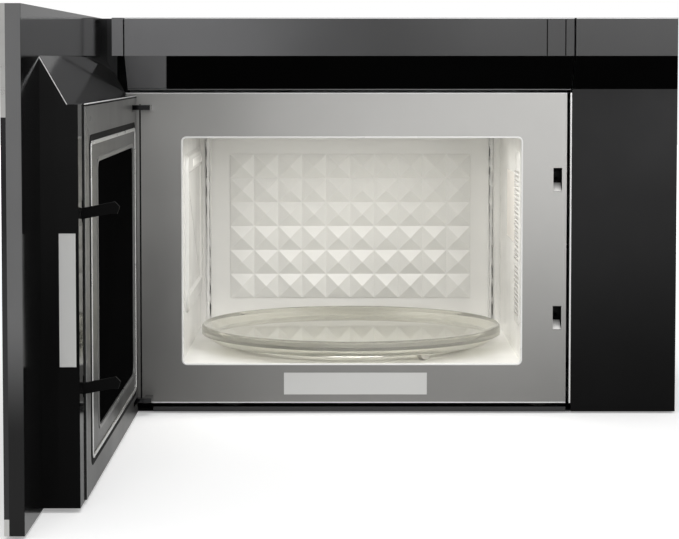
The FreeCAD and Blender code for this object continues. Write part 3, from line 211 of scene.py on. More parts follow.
# painted reflection: the liner's gloss black is lighter towards its head and darker towards its foot
liner_black = coated("liner_black", (0.009, 0.009, 0.009), 0.07, 0.0, 0.1, 30, 0.004, specular=0.02,
                     fades=(("Z", -0.10, 0.14, (0.5, 1.6)),))
zinc_steel = coated("zinc_steel", (0.60, 0.61, 0.62), 0.36, 0.9, 0.08, 90, 0.02)
stainless = coated("stainless", (0.60, 0.595, 0.58), 0.30, 0.95, 0.05, 700, 0.01, (0.06, 0.06, 6))
trim_silver = coated("trim_silver", (0.72, 0.72, 0.71), 0.28, 0.9, 0.04, 900, 0.006)
bright_steel = coated("bright_steel", (0.78, 0.78, 0.78), 0.14, 1.0, 0.05, 120, 0.01)
black_plastic = coated("black_plastic", (0.006, 0.006, 0.006), 0.35, 0.0, 0.1, 1500, 0.03, specular=0.25)
white_plastic = coated("white_plastic", (0.74, 0.72, 0.67), 0.40, 0.0, 0.04, 900, 0.02)
label_film = coated("label_film", (0.60, 0.60, 0.585), 0.40, 0.15, 0.03, 1200, 0.004)
mica_sheet = coated("mica_sheet", (0.80, 0.765, 0.72), 0.45, 0.0, 0.06, 300, 0.03)
core_steel = coated("core_steel", (0.07, 0.07, 0.075), 0.5, 0.5, 0.1, 900, 0.08, (1, 40, 1))
aluminium_fins = coated("aluminium_fins", (0.66, 0.67, 0.68), 0.34, 0.95, 0.05, 200, 0.01, (1, 1, 12))
charcoal_felt = coated("charcoal_felt", (0.02, 0.02, 0.02), 0.95, 0.0, 0.4, 500, 0.6)
opening_lip = coated("opening_lip", (0.84, 0.835, 0.82), 0.25, 0.1, 0.02, 400, 0.004)
vent_dark = coated("vent_dark", (0.60, 0.585, 0.56), 0.6, 0.0, 0.1, 800, 0.01)
ledge_paint = coated("ledge_paint", (0.80, 0.79, 0.77), 0.5, 0.0, 0.05, 800, 0.01)
hinge_steel = coated("hinge_steel", (0.05, 0.05, 0.052), 0.14, 1.0, 0.1, 120, 0.01)
sash_grey = coated("sash_grey", (0.16, 0.16, 0.157), 0.30, 0.5, 0.04, 1500, 0.008, specular=0.2)
# dark joints and painted shade: the real joints, the channel and the black parts, and also the painted contact
# shadow at the hinges and the darkened interlock bracket
dark_joints_and_painted_shade = coated("dark_joints_and_painted_shade", (0.003, 0.003, 0.003), 0.6, 0.0, 0.1, 800, 0.01, specular=0.05)
# painted highlight: a light strip stands for the light caught on a rounded edge
edge_painted_highlight = coated("edge_painted_highlight", (0.78, 0.78, 0.78), 0.30, 0.1, 0.05, 300, 0.005)
# painted highlight, dimmer: a grey strip stands for the light caught on an edge
edge_painted_dim_highlight = coated("edge_painted_dim_highlight", (0.16, 0.16, 0.16), 0.35, 0.1, 0.05, 300, 0.005)
print("coated finishes ready")

# %% [markdown]
# Glass is either clear, where light passes and its edge looks green, or it looks
# black, as the panes of the door do, with paint or a dark screen behind them.
# The clear sort needs transmission in the shader, and the tray's is a little
# milky as well; the black sort is a smooth dark surface.

# %% Glass
FILM_WAVES = 14.0
FILM_SHADE = 0.94
FILM_DULLNESS = 0.03


def see_through(name, colour, roughness, through=1.0, index=1.5):
    """Glass with a thin film of dust, which shades it and dulls it in places."""
    material, tree, shader = new_finish(name, colour, roughness)
    shader.inputs["Transmission Weight"].default_value = through
    shader.inputs["IOR"].default_value = index
    space = pattern_space(tree)
    film = noise_in(tree, space, FILM_WAVES)
    dusty = shade_of(colour, FILM_SHADE)
    tree.links.new(ramp_between(tree, film, dusty, colour), shader.inputs["Base Color"])
    tree.links.new(spread(tree, film, roughness, roughness + FILM_DULLNESS), shader.inputs["Roughness"])
    return material


tray_glass = see_through("tray_glass", (0.88, 0.872, 0.80), 0.03, through=0.82, index=1.36)
smoked_glass = coated("smoked_glass", (0.003, 0.003, 0.003), 0.16, 0.0, 0.1, 25, 0.002, specular=0.0)
lamp_glass = see_through("lamp_glass", (0.93, 0.91, 0.84), 0.35, 0.8)
black_glass = coated("black_glass", (0.006, 0.006, 0.007), 0.05, 0.0, 0.1, 25, 0.002)
print("glass ready")

# %% [markdown]
# The door's carrying frame is moulded in two tones: its outer edge, all round, is a plain grey with a painted
# reflection that darkens it towards the foot, and the face that looks at the oven is gloss black like the
# liner.  One material does both, and changes tone just behind the frame's inner face.

# %% Two toned door frame
frame_low, frame_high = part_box("door_frame")
FACE_SKIN = 0.0002
# painted reflection: the grey edge darkens towards the foot between these two heights
EDGE_DARK_Z, EDGE_LIGHT_Z = -0.13, -0.03
EDGE_PAINTED_REFLECTION = (0.09, 1.0)


def two_toned(name, edge_tone, face_tone, roughness, face_x, specular=0.16, waves=12.0):
    material, tree, shader = new_finish(name, face_tone, roughness)
    shader.inputs["Specular IOR Level"].default_value = specular
    space = pattern_space(tree)
    split = tree.nodes.new("ShaderNodeSeparateXYZ")
    tree.links.new(space, split.inputs["Vector"])
    face = tree.nodes.new("ShaderNodeMath")
    face.operation = "GREATER_THAN"
    face.inputs[1].default_value = face_x
    tree.links.new(split.outputs["X"], face.inputs[0])
    slow = noise_in(tree, space, waves)
    tones = tree.nodes.new("ShaderNodeMix")
    tones.data_type = "RGBA"
    tree.links.new(face.outputs[0], tones.inputs["Factor"])
    edge = ramp_between(tree, slow, shade_of(edge_tone, 0.96), shade_of(edge_tone, 1.04))
    edge = fading(tree, space, edge, "Z", EDGE_DARK_Z, EDGE_LIGHT_Z, EDGE_PAINTED_REFLECTION)
    dark = ramp_between(tree, slow, shade_of(face_tone, 0.9), shade_of(face_tone, 1.1))
    tree.links.new(edge, tones.inputs[6])
    tree.links.new(dark, tones.inputs[7])
    tree.links.new(tones.outputs[2], shader.inputs["Base Color"])
    tree.links.new(spread(tree, slow, roughness - 0.02, roughness + 0.02), shader.inputs["Roughness"])
    dimple(tree, shader, noise_in(tree, space, 1500.0), 0.003 * MM)
    return material


frame_tones = two_toned("frame_tones", (0.135, 0.135, 0.136), (0.005, 0.005, 0.005), 0.08,
                        frame_high.x - FACE_SKIN)
print("door frame from", round(frame_low.x, 4), "to", round(frame_high.x, 4))

# %% [markdown]
# Some sheets are full of holes or lines: the screen that keeps the waves in,
# the filter mesh, and the circuit boards.  Real holes by the thousand would
# be too heavy, so the regular pattern is worked out from the object
# coordinates: the distance from the middle of each cell decides the tone.

# %% Perforated, woven and printed sheets
def cell_pattern(tree, space, axes, pitch):
    """Distance from the nearest cell middle, in cells, over two axes."""
    split = tree.nodes.new("ShaderNodeSeparateXYZ")
    tree.links.new(space, split.inputs["Vector"])
    squares = []
    for axis in axes:
        fold = tree.nodes.new("ShaderNodeMath")
        fold.operation = "PINGPONG"
        fold.inputs[1].default_value = pitch / 2
        tree.links.new(split.outputs[axis], fold.inputs[0])
        square = tree.nodes.new("ShaderNodeMath")
        square.operation = "POWER"
        square.inputs[1].default_value = 2.0
        tree.links.new(fold.outputs[0], square.inputs[0])
        squares.append(square.outputs[0])
    total = tree.nodes.new("ShaderNodeMath")
    total.operation = "ADD"
    tree.links.new(squares[0], total.inputs[0])
    tree.links.new(squares[1], total.inputs[1])
    root = tree.nodes.new("ShaderNodeMath")
    root.operation = "SQRT"
    tree.links.new(total.outputs[0], root.inputs[0])
    scale = tree.nodes.new("ShaderNodeMath")
    scale.operation = "DIVIDE"
    scale.inputs[1].default_value = pitch / 2
    tree.links.new(root.outputs[0], scale.inputs[0])
    return scale.outputs[0]


def celled(name, ground, hole, roughness, metallic, axes, pitch, edge=(0.5, 0.7), depth=0.2):
    """A sheet with one tone in the cells' middles and one between them; depth in millimetres."""
    material, tree, shader = new_finish(name, ground, roughness, metallic)
    space = pattern_space(tree)
    cells = cell_pattern(tree, space, axes, pitch)
    tree.links.new(ramp_between(tree, cells, hole, ground, *edge), shader.inputs["Base Color"])
    tree.links.new(spread(tree, noise_in(tree, space, 40.0), roughness - 0.05, roughness + 0.08),
                   shader.inputs["Roughness"])
    dimple(tree, shader, cells, depth * MM)
    return material


screen_steel = celled("screen_steel", (0.03, 0.03, 0.03), (0.004, 0.004, 0.004), 0.4, 0.2,
                      "YZ", pitch=2.2 * MM)
filter_mesh = celled("filter_mesh", (0.62, 0.63, 0.64), (0.10, 0.10, 0.10), 0.35, 0.9,
                     "XY", pitch=3.4 * MM, depth=0.5)
board_green = celled("board_green", (0.02, 0.16, 0.06), (0.55, 0.42, 0.12), 0.35, 0.0,
                     "XZ", pitch=5.0 * MM, edge=(0.1, 0.2))
print("patterned finishes ready")

# %% [markdown]
# ## Dressing the CAD nodes
# A CAD node whose shape is right keeps its mesh and only gets a finish.  The
# list below is the whole wardrobe, and the line printed at its end names each
# piece that has no entry.

# %% Give every CAD node its finish
WARDROBE = {
    "case_paint": (case_paint, "outer_wrapper base_plate"),
    "zinc_steel": (zinc_steel, "rear_panel turntable_motor hinge_leaves waveguide "
                               "blower_housing exhaust_adapter damper_flap case_screws"),
    "cavity_enamel": (cavity_enamel, "cavity_shell embossed_back_wall"),
    "plate_paint": (plate_paint, "front_plate"),
    "label_film": (label_film, "rating_label door_label"),
    "mica": (mica_sheet, "waveguide_cover"),
    "gloss_black": (gloss_black, "right_panel"),
    "fascia": (fascia_black, "top_fascia fascia_left_cap fascia_right_cap"),
    "liner": (liner_black, "door_liner"),
    "trim_silver": (trim_silver, "panel_trim"),
    "white_plastic": (white_plastic, "drive_coupler roller_ring roller_front roller_right roller_left"),
    "tray_glass": (tray_glass, "glass_tray"),
    "bright_steel": (bright_steel, "hinge_pins latch_spring"),
    "hinge_steel": (hinge_steel, "hinge_arms"),
    # painted shade: the interlock bracket is made black so that the gap beside the right panel stays dark; the
    # latch carrier and plungers are black parts
    "matt_black_and_painted_shade": (dark_joints_and_painted_shade, "latch_carrier interlock_bracket plunger_lower plunger_upper"),
    "stainless": (stainless, "door_top_strip door_bottom_strip"),
    "black_glass": (black_glass, "door_glass"),
    "frame_plastic": (frame_tones, "door_frame"),
    "choke_paint": (choke_paint, "choke_plate"),
    "smoked_glass": (smoked_glass, "inner_window"),
    "screen_steel": (screen_steel, "door_screen"),
    "black_plastic": (black_plastic, "microswitches fan_shroud fan_wheel blower_wheels cord_gland"),
    "circuit_board": (board_green, "control_board noise_filter"),
    "aluminium": (aluminium_fins, "magnetron capacitor"),
    "core_steel": (core_steel, "transformer fan_motor blower_motor"),
    "filter_mesh": (filter_mesh, "grease_filter_left grease_filter_right"),
    "lamp_glass": (lamp_glass, "cooktop_lamps lamp_lenses cavity_lamp"),
    "charcoal": (charcoal_felt, "charcoal_filter"),
}

dressed = set()
for finish, names in WARDROBE.values():
    for name in names.split():
        nodes[name].data.materials.clear()
        nodes[name].data.materials.append(finish)
        dressed.add(name)
print("dressed", len(dressed), "of", len(nodes), sorted(set(nodes) - dressed))

# %% [markdown]
# ## Shapes that the frame leaves plain
# Pressed sheet and moulded plastic share a few habits: corners are rounded,
# raised fields have sloping sides, and cut edges are turned over.  So the
# pieces below start from one flat rectangle, and the edit mode operators give
# it round corners, a sloping step or an open middle.

# %% Start a flat rectangle that faces one way
SHARP_ANGLE = math.radians(40)
SMOOTH_ANGLE = math.radians(35)
MERGE_DISTANCE = 0.00001
FACING = {
    "right": Matrix(((0, 0, 1), (1, 0, 0), (0, 1, 0))),
    "left": Matrix(((0, 0, -1), (-1, 0, 0), (0, 1, 0))),
    "front": Matrix(((1, 0, 0), (0, 0, -1), (0, 1, 0))),
    "up": Matrix(((1, 0, 0), (0, 1, 0), (0, 0, 1))),
    "down": Matrix(((1, 0, 0), (0, -1, 0), (0, 0, -1))),
}


def flat_start(name, centre, width, height, facing):
    """A rectangle of a width and a height, with its middle at the centre."""
    bpy.ops.object.select_all(action="DESELECT")
    bpy.ops.mesh.primitive_plane_add(size=1)
    piece = bpy.context.object
    piece.name = name
    piece.data.name = name
    piece.scale = (width, height, 1)
    bpy.ops.object.transform_apply(location=False, rotation=False, scale=True)
    piece.matrix_world = Matrix.Translation(centre) @ FACING[facing].to_4x4()
    bpy.ops.object.transform_apply(location=True, rotation=True, scale=True)
    return piece


def round_corners(radius, steps=6):
    """In edit mode, with everything selected."""
    bpy.ops.mesh.bevel(offset=radius, segments=steps, affect="VERTICES")
    bpy.ops.mesh.select_all(action="SELECT")


def thicken(push):
    """In edit mode: draw the whole sheet out by a step, so that it becomes a slab."""
    bpy.ops.mesh.select_all(action="SELECT")
    bpy.ops.mesh.extrude_region_move(TRANSFORM_OT_translate={"value": push})


def apply_modifiers(piece):
    bpy.context.view_layer.objects.active = piece
    for modifier in list(piece.modifiers):
        bpy.ops.object.modifier_apply(modifier=modifier.name)


def in_rows(piece, count, step):
    """Repeat the piece, each copy one step further."""
    array = piece.modifiers.new("row", "ARRAY")
    array.count = count
    array.use_relative_offset = False
    array.use_constant_offset = True
    array.constant_offset_displace = step


def soften(piece, width, segments=3):
    edge = piece.modifiers.new("soft edge", "BEVEL")
    edge.width = width
    edge.segments = segments
    edge.limit_method = "ANGLE"
    edge.angle_limit = SHARP_ANGLE
    apply_modifiers(piece)


def hand_over(piece, body, finish):
    """Give a shaped piece its finish, and let it ride on its body."""
    bpy.ops.object.select_all(action="DESELECT")
    piece.select_set(True)
    bpy.context.view_layer.objects.active = piece
    bpy.ops.object.transform_apply(location=True, rotation=True, scale=True)
    bpy.ops.object.mode_set(mode="EDIT")
    bpy.ops.mesh.select_all(action="SELECT")
    bpy.ops.mesh.remove_doubles(threshold=MERGE_DISTANCE)
    bpy.ops.mesh.normals_make_consistent(inside=False)
    bpy.ops.object.mode_set(mode="OBJECT")
    bpy.ops.object.shade_smooth_by_angle(angle=SMOOTH_ANGLE)
    piece.data.materials.clear()
    piece.data.materials.append(finish)
    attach(piece, body)
    print(piece.name, "has", len(piece.data.polygons), "faces and rides on", body)
    return piece


print("shape helpers ready")

# %% [markdown]
# A bead is a rounded rectangle with an open middle: the turned lip round the
# oven's mouth, and the frames on the door, are all of this kind.  Insetting
# the face and deleting the middle leaves the flat ring, Solidify gives it its
# depth, and a bevel turns its edges.

# %% Beads
def bead(name, centre, width, height, facing, corner, rim, depth, edge, body, finish):
    piece = flat_start(name, centre, width, height, facing)
    bpy.ops.object.mode_set(mode="EDIT")
    bpy.ops.mesh.select_all(action="SELECT")
    round_corners(corner)
    bpy.ops.mesh.inset(thickness=rim)
    bpy.ops.mesh.delete(type="FACE")
    bpy.ops.object.mode_set(mode="OBJECT")
    wall = piece.modifiers.new("depth", "SOLIDIFY")
    wall.thickness = depth
    wall.offset = -1
    apply_modifiers(piece)
    soften(piece, edge)
    return hand_over(piece, body, finish)


plate_low, plate_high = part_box("front_plate")
MOUTH_LEFT, MOUTH_RIGHT = -0.2129, 0.1421
MOUTH_LOW, MOUTH_HIGH = -0.156, 0.082
MOUTH_X, MOUTH_Z = (MOUTH_LEFT + MOUTH_RIGHT) / 2, (MOUTH_LOW + MOUTH_HIGH) / 2
MOUTH_WIDTH, MOUTH_HEIGHT = MOUTH_RIGHT - MOUTH_LEFT, MOUTH_HIGH - MOUTH_LOW
LIP_PROUD = 0.0006      # how far the lip stands out of the front plate
LIP_OVERLAP = 0.0022    # how much wider and taller it is than the mouth
bead("mouth_lip", (MOUTH_X, plate_low.y - LIP_PROUD, MOUTH_Z),
     MOUTH_WIDTH + LIP_OVERLAP, MOUTH_HEIGHT + LIP_OVERLAP, "front",
     corner=0.0056, rim=0.0018, depth=0.0040, edge=0.0005,
     body="cabinet", finish=opening_lip)

# %% [markdown]
# The inner face of the door carries a black channel that runs round the
# window.  Inside it stands a narrow lip that catches the light, and the window
# itself has a narrow grey frame.  All of them face the cavity, which is to the
# right while the door stands open.  The closed door is only 2 mm from the
# front plate, so nothing here stands out further than 1.2 mm.

# %% Channel, lip and window frame on the door
choke_low, choke_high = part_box("choke_plate")
pane_low, pane_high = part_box("inner_window")
DOOR_FACE_X = choke_high.x
CHANNEL_FREE, CHANNEL_HINGE = -0.796, -0.3965
CHANNEL_LOW, CHANNEL_HIGH = -0.183, 0.099
CHANNEL_RIM = 0.0055
CHANNEL_PROUD, CHOKE_LIP_PROUD, SASH_PROUD = 0.0004, 0.0012, 0.0006
channel_y, channel_z = (CHANNEL_FREE + CHANNEL_HINGE) / 2, (CHANNEL_LOW + CHANNEL_HIGH) / 2
channel_width, channel_height = CHANNEL_HINGE - CHANNEL_FREE, CHANNEL_HIGH - CHANNEL_LOW
bead("choke_channel", (DOOR_FACE_X + CHANNEL_PROUD, channel_y, channel_z),
     channel_width, channel_height, "right",
     corner=0.010, rim=CHANNEL_RIM, depth=0.0012, edge=0.0002,
     body="door", finish=dark_joints_and_painted_shade)
bead("choke_lip", (DOOR_FACE_X + CHOKE_LIP_PROUD, channel_y, channel_z),
     channel_width - 2 * CHANNEL_RIM, channel_height - 2 * CHANNEL_RIM, "right",
     corner=0.007, rim=0.0034, depth=0.0012, edge=0.0005,
     body="door", finish=trim_silver)
SASH_INSET = 0.004      # the frame's outer edge lies this far inside the pane's
pane_middle, pane_size = (pane_low + pane_high) / 2, pane_high - pane_low
bead("window_frame", (DOOR_FACE_X + SASH_PROUD, pane_middle.y, pane_middle.z),
     pane_size.y - 2 * SASH_INSET, pane_size.z - 2 * SASH_INSET, "right",
     corner=0.014, rim=0.004, depth=0.0022, edge=0.0005,
     body="door", finish=sash_grey)

LINE_PROUD, LINE_DEPTH, LINE_EDGE = 0.0003, 0.0012, 0.0002


def door_line(name, low, high, finish):
    """A thin bar on the door's inner face, between two corners given as Y and Z."""
    middle = (DOOR_FACE_X + LINE_PROUD, (low[0] + high[0]) / 2, (low[1] + high[1]) / 2)
    line = flat_start(name, middle, high[0] - low[0], high[1] - low[1], "right")
    bpy.ops.object.mode_set(mode="EDIT")
    thicken((-LINE_DEPTH, 0, 0))
    bpy.ops.object.mode_set(mode="OBJECT")
    soften(line, LINE_EDGE, 2)
    return hand_over(line, "door", finish)


# painted highlights along the choke plate's top and free edges, with a dark joint under the top one
door_line("choke_top_highlight", (choke_low.y, choke_high.z - 0.0008),
          (choke_high.y, choke_high.z), edge_painted_highlight)
door_line("choke_top_joint", (choke_low.y, choke_high.z - 0.0024),
          (choke_high.y, choke_high.z - 0.0012), dark_joints_and_painted_shade)
door_line("choke_free_highlight", (choke_low.y, choke_low.z),
          (choke_low.y + 0.004, choke_high.z - 0.002), edge_painted_dim_highlight)

# %% A painted highlight along the liner's sloping edge
liner_low, liner_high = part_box("door_liner")
SLOPE_FOOT_X, SLOPE_FOOT_Z = DOOR_FACE_X - 0.0093, 0.126
SLOPE_HEAD_X, SLOPE_HEAD_Z = liner_low.x, liner_high.z
SLOPE_LINE_WIDTH, SLOPE_LINE_SHIFT = 0.0009, 0.0006
SLOPE_LINE_PROUD, SLOPE_LINE_DEPTH = 0.0001, 0.0012
slope_middle = ((SLOPE_FOOT_X + SLOPE_HEAD_X) / 2 - SLOPE_LINE_SHIFT,
                liner_low.y - SLOPE_LINE_PROUD,
                (SLOPE_FOOT_Z + SLOPE_HEAD_Z) / 2)
edge = flat_start("liner_slope_highlight", slope_middle, SLOPE_LINE_WIDTH, SLOPE_HEAD_Z - SLOPE_FOOT_Z, "front")
bpy.ops.object.mode_set(mode="EDIT")
thicken((0, SLOPE_LINE_DEPTH, 0))
bpy.ops.mesh.select_all(action="DESELECT")
shape = bmesh.from_edit_mesh(edge.data)
for vertex in shape.verts:
    side = 0.5 if vertex.co.z > slope_middle[2] else -0.5
    vertex.co.x += side * (SLOPE_HEAD_X - SLOPE_FOOT_X)
bmesh.update_edit_mesh(edge.data)
bpy.ops.object.mode_set(mode="OBJECT")
soften(edge, LINE_EDGE, 2)
hand_over(edge, "door", edge_painted_highlight)

# %% [markdown]
# The cavity's side walls are pressed.  On the left wall a tall rounded field
# stands proud of the sheet, with a shallower field sunk into it and a slot
# above, where the oven lamp shines in.  On the right wall the sheet is pierced
# with rows of small holes, so that air can pass and the waves cannot.

# %% Raised fields
def raised_field(name, centre, width, height, facing, corner, steps, finish):
    """Each step is an inset and how far it moves out or in, in metres."""
    piece = flat_start(name, centre, width, height, facing)
    bpy.ops.object.mode_set(mode="EDIT")
    bpy.ops.mesh.select_all(action="SELECT")
    round_corners(corner)
    bpy.ops.mesh.extrude_region_move()
    for inset, rise in steps:
        bpy.ops.mesh.inset(thickness=inset, depth=rise)
    bpy.ops.mesh.select_all(action="SELECT")
    bpy.ops.mesh.remove_doubles(threshold=MERGE_DISTANCE / 10)
    bpy.ops.mesh.select_all(action="DESELECT")
    bpy.ops.mesh.select_mode(type="EDGE")
    bpy.ops.mesh.select_non_manifold(extend=False)
    if sum(edge.select for edge in bmesh.from_edit_mesh(piece.data).edges):
        bpy.ops.mesh.edge_face_add()
    bpy.ops.mesh.select_mode(type="VERT")
    bpy.ops.object.mode_set(mode="OBJECT")
    soften(piece, PRESSED_EDGE, 2)
    return hand_over(piece, "cabinet", finish)


PRESSED_EDGE = 0.0008
SHEET_OFFSET = 0.0002
WALL_STEP = 0.003       # the walls stand this far outside the mouth
WALL_LEFT_X, WALL_RIGHT_X = MOUTH_LEFT - WALL_STEP, MOUTH_RIGHT + WALL_STEP
raised_field("left_wall_field", (WALL_LEFT_X - SHEET_OFFSET, -0.158, -0.0275), 0.244, 0.176, "right",
             corner=0.022, steps=((0.004, 0.0034), (0.016, 0.0), (0.003, -0.0024)), finish=cavity_enamel)
raised_field("lamp_slot", (WALL_LEFT_X + SHEET_OFFSET, -0.125, 0.0475), 0.150, 0.012, "right",
             corner=0.0055, steps=((0.0015, 0.0036),), finish=opening_lip)
raised_field("right_wall_field", (WALL_RIGHT_X + SHEET_OFFSET, -0.277, -0.030), 0.062, 0.190, "left",
             corner=0.012, steps=((0.002, 0.0012),), finish=cavity_enamel)

# %% Vent holes in the right wall
VENT_PITCH = 0.005
VENT_RADIUS, VENT_DEPTH = 0.0012, 0.0008
VENT_RIM, VENT_DISH = 0.0005, 0.0003
VENT_COLUMNS, VENT_FRONT_Y = 9, -0.300
EYELET_X = WALL_RIGHT_X - 0.0012


def vent_grid(name, foot_z, rows):
    """One shallow eyelet, repeated towards the wall and upwards."""
    bpy.ops.object.select_all(action="DESELECT")
    bpy.ops.mesh.primitive_cylinder_add(vertices=10, radius=VENT_RADIUS, depth=VENT_DEPTH,
                                        location=(EYELET_X, VENT_FRONT_Y, foot_z),
                                        rotation=(0, math.radians(90), 0))
    piece = bpy.context.object
    piece.name = name
    piece.data.name = name
    bpy.ops.object.transform_apply(location=True, rotation=True, scale=True)
    bpy.ops.object.mode_set(mode="EDIT")
    bpy.ops.mesh.select_all(action="DESELECT")
    mesh = bmesh.from_edit_mesh(piece.data)
    for face in mesh.faces:
        face.select = face.normal.x < -0.9
    bmesh.update_edit_mesh(piece.data)
    bpy.ops.mesh.inset(thickness=VENT_RIM, depth=-VENT_DISH)
    bpy.ops.object.mode_set(mode="OBJECT")
    in_rows(piece, VENT_COLUMNS, (0, VENT_PITCH, 0))
    in_rows(piece, rows, (0, 0, VENT_PITCH))
    apply_modifiers(piece)
    return hand_over(piece, "cabinet", vent_dark)


vent_grid("upper_vents", -0.053, 20)
vent_grid("lower_vents", -0.112, 11)

# %% [markdown]
# Where the back wall meets the side walls the sheets are folded into upright
# beads, which show as two bright lines at each corner of the cavity.

# %% Upright beads in the cavity's corners
back_wall_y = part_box("embossed_back_wall")[1].y - SHEET_OFFSET
BEAD_OVERLAP = 0.002    # how much taller a bead is than the mouth
for name, x, width in (("corner_bead_left", -0.2068, 0.0070), ("corner_bead_right", 0.1345, 0.0062)):
    raised_field(name, (x, back_wall_y, MOUTH_Z), width, MOUTH_HEIGHT + BEAD_OVERLAP, "front",
                 corner=0.0008, steps=((0.0012, 0.0030), (0.0010, 0.0)), finish=opening_lip)

# %% [markdown]
# Behind each latch slot of the front plate a bright ledge waits for the hook.
# It fills the lower part of the slot, and rises away from the front, just
# under the path of the hook's sloping arm.

# %% Ledges in the latch slots
SLOT_X, SLOT_MIDDLE, SLOT_SPACING = 0.1796, -0.0347, 0.1449
LEDGE_WIDTH = 0.0088
LEDGE_SETBACK, LEDGE_DEPTH = 0.0004, 0.0155    # from the plate's face to its foot and to its head
LEDGE_FOOT, LEDGE_HEAD = -0.0120, -0.0037      # from the slot's middle
for name, side in (("slot_ledge_lower", -1), ("slot_ledge_upper", 1)):
    height = SLOT_MIDDLE + side * SLOT_SPACING / 2
    ledge = flat_start(name, (SLOT_X, plate_low.y, height), LEDGE_WIDTH, 0.001, "front")
    bpy.ops.object.mode_set(mode="EDIT")
    shape = bmesh.from_edit_mesh(ledge.data)
    for vertex in shape.verts:
        upper = vertex.co.z > height
        vertex.co.y = plate_low.y + (LEDGE_DEPTH if upper else LEDGE_SETBACK)
        vertex.co.z = height + (LEDGE_HEAD if upper else LEDGE_FOOT)
    bmesh.update_edit_mesh(ledge.data)
    thicken((0, 0.0006, -0.0004))
    bpy.ops.object.mode_set(mode="OBJECT")
    soften(ledge, LINE_EDGE, 2)
    hand_over(ledge, "cabinet", ledge_paint)

# %% [markdown]
# The band above the oven is edged with a thin painted highlight, and upright joints cross its face.  Under it
# the sloped soffit gets painted shade: a skin a third of a millimetre thick, dead black and without gloss,
# covers that part of the fascia.  The front plate has a thin painted highlight at its head and foot, and a
# painted shadow at the hinges.

# %% The soffit's skins
fascia_low, fascia_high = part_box("top_fascia")
cap_low, cap_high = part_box("fascia_right_cap")
panel_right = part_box("right_panel")[1].x
BAND_LOW_Z, SLOPE_LOW_Z = 0.167, 0.133
SOFFIT_LEFT, SOFFIT_FOOT_STEP = -0.226, 0.0026
SKIN_GAP = 0.0002
SKIN_RISE, SKIN_DROP = 0.00025, 0.0003


def sloped_skin(name, left, right, foot_left, foot_right):
    """A thin sheet that follows the soffit, with its own ends at the band and at the foot."""
    run, drop = plate_low.y - fascia_low.y, BAND_LOW_Z - SLOPE_LOW_Z
    middle_x, middle_z = (left + right) / 2, (BAND_LOW_Z + SLOPE_LOW_Z) / 2
    skin = flat_start(name, (middle_x, (fascia_low.y + plate_low.y) / 2, middle_z), right - left, 1.0, "front")
    bpy.ops.object.mode_set(mode="EDIT")
    shape = bmesh.from_edit_mesh(skin.data)
    for vertex in shape.verts:
        high = vertex.co.z > middle_z
        if not high:
            vertex.co.x = foot_left if vertex.co.x < middle_x else foot_right
        vertex.co.y = fascia_low.y + SKIN_GAP if high else plate_low.y - SKIN_GAP
        vertex.co.z = (BAND_LOW_Z if high else SLOPE_LOW_Z) - SKIN_GAP
    bmesh.update_edit_mesh(skin.data)
    bpy.ops.mesh.select_all(action="SELECT")
    bpy.ops.mesh.subdivide(number_cuts=1)
    thicken((0, -SKIN_RISE * drop / run, -SKIN_DROP))
    bpy.ops.object.mode_set(mode="OBJECT")
    return hand_over(skin, "cabinet", soffit_painted_shade)


# painted shade: the two skins darken the downward soffit
sloped_skin("soffit_skin", SOFFIT_LEFT, fascia_high.x, SOFFIT_LEFT - SOFFIT_FOOT_STEP, fascia_high.x)
sloped_skin("soffit_skin_right", cap_low.x, cap_high.x, cap_low.x, panel_right)

# %% Painted edge highlights, joints and a painted shadow at the hinges
def thin_strip(name, low, high, finish):
    """A small bar between two corners, with softened edges."""
    size = Vector(high) - Vector(low)
    strip = flat_start(name, ((low[0] + high[0]) / 2, low[1], (low[2] + high[2]) / 2), size.x, size.z, "front")
    bpy.ops.object.mode_set(mode="EDIT")
    thicken((0, size.y, 0))
    bpy.ops.object.mode_set(mode="OBJECT")
    soften(strip, min(size) * STRIP_EDGE_SHARE, 2)
    return hand_over(strip, "cabinet", finish)


STRIP_EDGE_SHARE = 0.3
STRIP_DEPTH = 0.001
BAND_LINE, BAND_LINE_PROUD = 0.0013, 0.00005
JOINT_PROUD, JOINT_HALF = 0.0001, 0.0007
PLATE_LINE, PLATE_LINE_PROUD, PLATE_LINE_START = 0.0012, 0.0002, 0.002
front_y, top_z, plate_y = fascia_low.y, fascia_high.z, plate_low.y

for name, left, right in (("band_highlight", fascia_low.x, fascia_high.x),
                          ("band_highlight_right", cap_low.x, cap_high.x)):
    thin_strip(name, (left, front_y - BAND_LINE_PROUD, top_z - BAND_LINE),
               (right, front_y + BAND_LINE, top_z), edge_painted_highlight)
for name, x in (("band_joint_near", 0.1648), ("band_joint_far", 0.1838)):
    thin_strip(name, (x - JOINT_HALF, front_y - JOINT_PROUD, BAND_LOW_Z),
               (x + JOINT_HALF, front_y + STRIP_DEPTH, top_z - 0.0014), dark_joints_and_painted_shade)
thin_strip("soffit_foot_highlight", (fascia_low.x, plate_y - 0.0006, SLOPE_LOW_Z - 0.0014),
           (fascia_high.x, plate_y + 0.0004, SLOPE_LOW_Z - 0.0004), edge_painted_dim_highlight)
